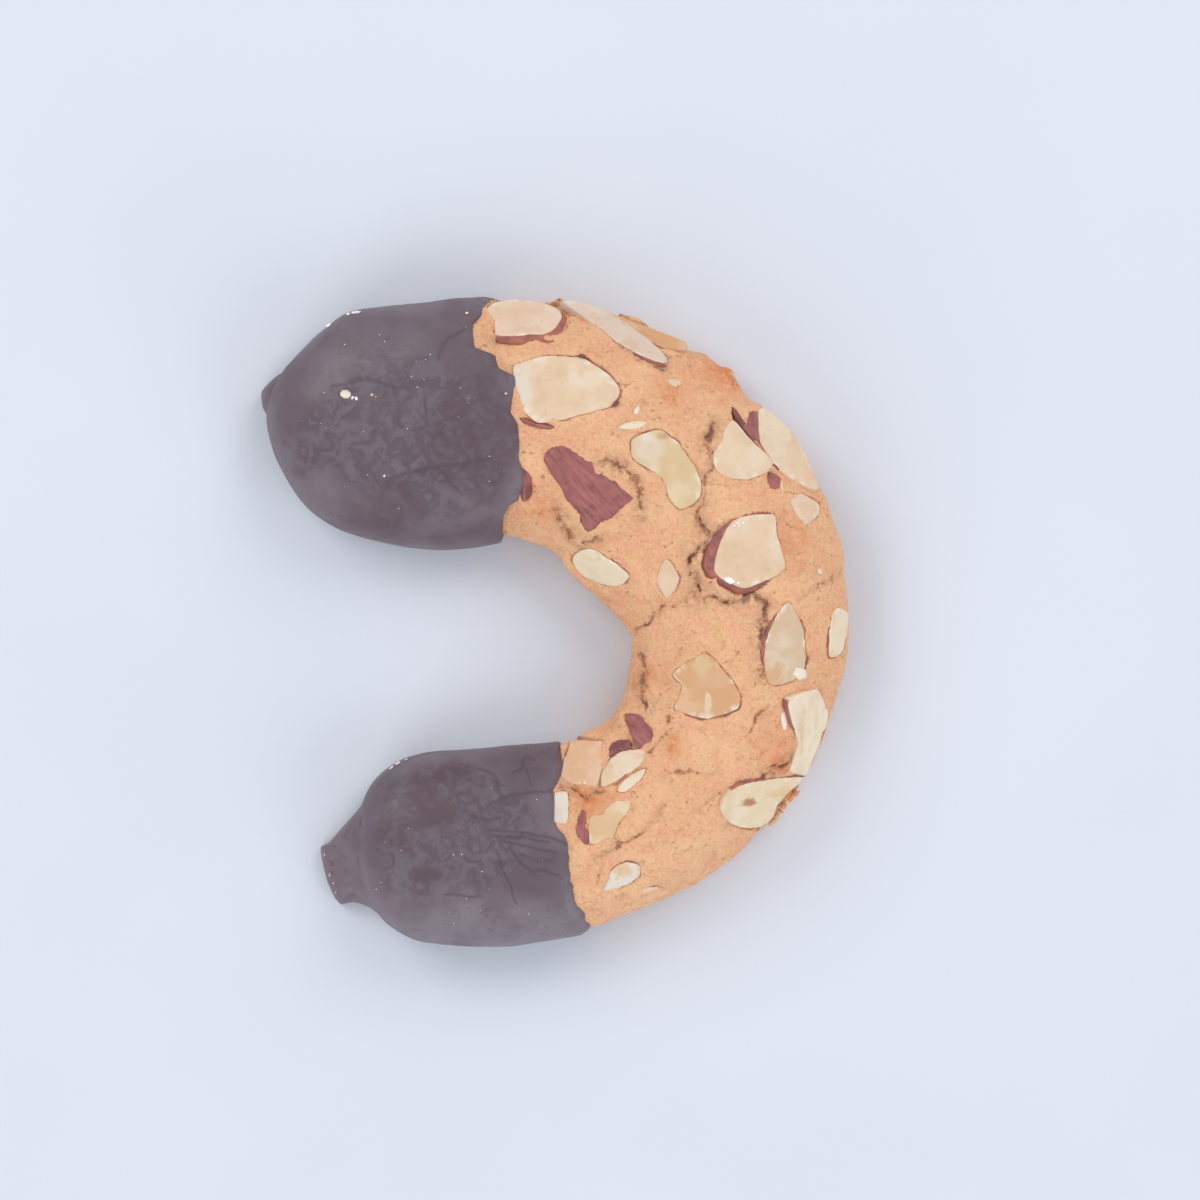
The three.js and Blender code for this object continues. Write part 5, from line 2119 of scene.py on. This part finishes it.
@dataclass(frozen=True)
class ChocolateFinish:
    """Set dark chocolate: satin, its colours lifted to a grey mauve by a painted veil of reflected
    light, with a painted sheen along the outer edges, and two-toned where it was rubbed.
    """

    # Dark chocolate colours lifted to a grey mauve: a painted veil of reflected light.
    base: Colour = srgb(104, 88, 97)
    light: Colour = srgb(118, 104, 112)
    film: Colour = srgb(111, 101, 109)
    rubbed: Colour = srgb(94, 79, 88)
    blush: Colour = srgb(95, 74, 81)
    bloom: Colour = srgb(131, 121, 128)
    dark: Colour = srgb(88, 71, 79)
    fold: Colour = srgb(80, 66, 74)

    def material(self) -> bpy.types.Material:
        """Builds the material from broad pale clouds, rubbed swirls, fine streaks, a painted sheen
        of reflected light along the outer edges and painted shade along the wrinkles.

        Returns:
            The material.
        """
        bench = FinishBench("dark_chocolate")
        cloud = bench.band(bench.noise(16.0, 2.0), 0.4, 0.62)
        colour = bench.mix(cloud, self.base, self.light)
        swirls = bench.band(bench.noise(2.8, 5.0, swirl=1.2), 0.4, 0.6)
        two_tone = bench.mix(swirls, self.film, self.rubbed)
        colour = bench.mix(bench.times(bench.mark("smear"), 0.75), colour, two_tone)
        ruddy = bench.band(bench.noise(3.0, 6.0, swirl=0.8), 0.26, 0.6, 0.85)
        colour = bench.mix(bench.times(bench.mark("blush"), ruddy), colour, self.blush)
        # Painted sheen: reflected light laid on as a paler grey along each coat's outer edge.
        film = bench.times(bench.mark("bloom"), bench.band(bench.noise(8.0, 3.0), 0.2, 0.55, 0.9))
        colour = bench.mix(film, colour, self.bloom)
        streak = bench.band(bench.noise(1.6, 5.0, swirl=1.0), 0.54, 0.72, 0.4)
        colour = bench.mix(streak, colour, self.dark)
        # Painted shade along the wrinkles, on their grooves and ridges alike.
        colour = bench.mix(bench.times(bench.mark("fold"), 0.6), colour, self.fold)
        uneven = bench.rescale(bench.noise(6.0, 3.0), 0.3, 0.7, 0.4, 0.56)
        fine = bench.bump(bench.noise(1.8, 3.0), 0.06, 0.3)
        rubbed = bench.bump(bench.times(bench.mark("smear"), swirls), 0.08, 0.4, fine)
        return bench.close({
            "Base Color": colour,
            "Roughness": uneven,
            "Specular IOR Level": 0.4,
            "Normal": rubbed,
        })


@dataclass(frozen=True)
class ViewFromAbove:
    """Camera straight above the horn, framed as a square picture with a known size of pixel."""

    picture_side: int = 1200
    pixel: float = 0.185
    horn_middle: tuple[float, float] = (556.5, 622.5)
    height: float = 1000.0
    plane_height: float = 10.0
    sensor: float = 36.0

    def make(self) -> None:
        """Places the camera over the picture's middle, level, with +Y up in the picture."""
        middle = self.picture_side / 2
        x = (middle - self.horn_middle[0]) * self.pixel
        y = (self.horn_middle[1] - middle) * self.pixel
        data = bpy.data.cameras.new("view_from_above")
        data.sensor_fit = "HORIZONTAL"
        data.sensor_width = self.sensor
        seen = self.picture_side * self.pixel
        data.lens = self.sensor * (self.height - self.plane_height) / seen
        data.clip_end = 20.0
        camera = bpy.data.objects.new("view_from_above", data)
        camera.location = (x * MM, y * MM, self.height * MM)
        bpy.context.scene.collection.objects.link(camera)
        bpy.context.scene.camera = camera


@dataclass(frozen=True)
class Lamp:
    """Soft square lamp turned to the horn: place in mm, side in mm, power in watts and colour."""

    place: tuple[float, float, float]
    side: float
    power: float
    colour: tuple[float, float, float] = (1.0, 1.0, 1.0)

    def make(self) -> None:
        """Makes the lamp."""
        data = bpy.data.lights.new("soft_lamp", "AREA")
        data.shape = "SQUARE"
        data.size = self.side * MM
        data.energy = self.power
        data.color = self.colour
        lamp = bpy.data.objects.new("soft_lamp", data)
        lamp.location = tuple(MM * v for v in self.place)
        lamp.rotation_mode = "QUATERNION"
        lamp.rotation_quaternion = lamp.location.to_track_quat("Z", "Y")
        lamp.visible_camera = False
        bpy.context.scene.collection.objects.link(lamp)


@dataclass(frozen=True)
class Studio:
    """Plain pale floor, soft lamps all round and an even pale sky."""

    floor_colour: Colour = srgb(219, 224, 234)
    floor_light: Colour = srgb(224, 228, 237)
    floor_half: float = 2500.0
    floor_drop: float = 0.05
    sky: Colour = (0.96, 0.97, 1.0, 1.0)
    sky_strength: float = 0.49
    lamps: tuple[Lamp, ...] = (
        Lamp((-750.0, 650.0, 800.0), 700.0, 4.9),
        Lamp((650.0, 750.0, 800.0), 700.0, 4.8),
        Lamp((850.0, -650.0, 550.0), 700.0, 4.0, (0.9, 0.95, 1.0)),
        Lamp((-650.0, -850.0, 550.0), 700.0, 4.8, (0.9, 0.95, 1.0)),
    )

    def make_floor(self) -> bpy.types.Object:
        """Makes the floor: one large square just under the horn.

        Returns:
            The new object.
        """
        half = self.floor_half * MM
        drop = -self.floor_drop * MM
        mesh = bpy.data.meshes.new("floor")
        turns = ((-1, -1), (1, -1), (1, 1), (-1, 1))
        mesh.from_pydata([(x * half, y * half, drop) for x, y in turns], [], [(0, 1, 2, 3)])
        bench = FinishBench("pale_floor")
        soft = bench.band(bench.noise(60.0, 2.0), 0.3, 0.7, 0.3)
        colour = bench.mix(soft, self.floor_colour, self.floor_light)
        mesh.materials.append(bench.close({"Base Color": colour, "Roughness": 0.7}))
        floor = bpy.data.objects.new("floor", mesh)
        bpy.context.scene.collection.objects.link(floor)
        return floor

    def make_light(self) -> None:
        """Makes the lamps and an even pale sky."""
        for lamp in self.lamps:
            lamp.make()
        world = bpy.data.worlds.new("pale_sky")
        world.use_nodes = True
        sky = world.node_tree.nodes["Background"]
        sky.inputs["Color"].default_value = self.sky
        sky.inputs["Strength"].default_value = self.sky_strength
        bpy.context.scene.world = world
        bpy.context.scene.view_settings.view_transform = "Standard"


def points_of(piece: bpy.types.Object) -> Field:
    """Places of a piece's points.

    Args:
        piece: the piece.

    Returns:
        The places in mm, one a row.
    """
    places = np.empty(3 * len(piece.data.vertices))
    piece.data.vertices.foreach_get("co", places)
    return places.reshape(-1, 3) / MM


def carry(piece: bpy.types.Object, slot: str, *nodes: str) -> None:
    """Ties a piece to the horn's body, and hides the solids that it stands for.

    Args:
        piece: the piece.
        slot: the record's material slot; not used.
        nodes: the solids that the piece stands for.
    """
    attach(piece, BODY)
    if nodes:
        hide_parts(*nodes)
    mesh = piece.data
    LOG.info("%s: %d points, %d faces", piece.name, len(mesh.vertices), len(mesh.polygons))


def main() -> None:
    """Builds the view, the horn's pieces and the studio, in that order."""
    logging.basicConfig(level=logging.INFO, format="%(name)s: %(message)s")
    ViewFromAbove().make()
    strip = DoughStrip()
    almonds = [BeddedAlmond(piece, strip, seed) for seed, piece in enumerate(ALMONDS)]
    dough = Biscuit(strip, almonds).make()
    carry(dough, "biscuit", "biscuit")
    pieces = AlmondPieces(almonds)
    slices = pieces.make_slices()
    carry(slices, "almond", "biscuit")
    carry(pieces.make_skins(), "almond_skin", "biscuit")
    upper = ChocolateCoat(
        "chocolate_coat_upper", strip, UPPER_RIM, True, UPPER_TAIL,
        UPPER_WRINKLES, UPPER_SMEAR, UPPER_BLUSHES, UPPER_PAINTED_SHEEN,
    ).make()
    carry(upper, "chocolate", "chocolate_upper")
    lower = ChocolateCoat(
        "chocolate_coat_lower", strip, LOWER_RIM, False, LOWER_TAIL,
        LOWER_WRINKLES, LOWER_SMEAR, LOWER_BLUSHES, LOWER_PAINTED_SHEEN,
    ).make()
    carry(lower, "chocolate", "chocolate_lower")
    ground = np.concatenate([points_of(piece) for piece in (dough, slices, upper, lower)])
    carry(Crumbs(strip, ground).make(), "almond")
    studio = Studio()
    studio.make_floor()
    studio.make_light()


if __name__ == "__main__":
    main()
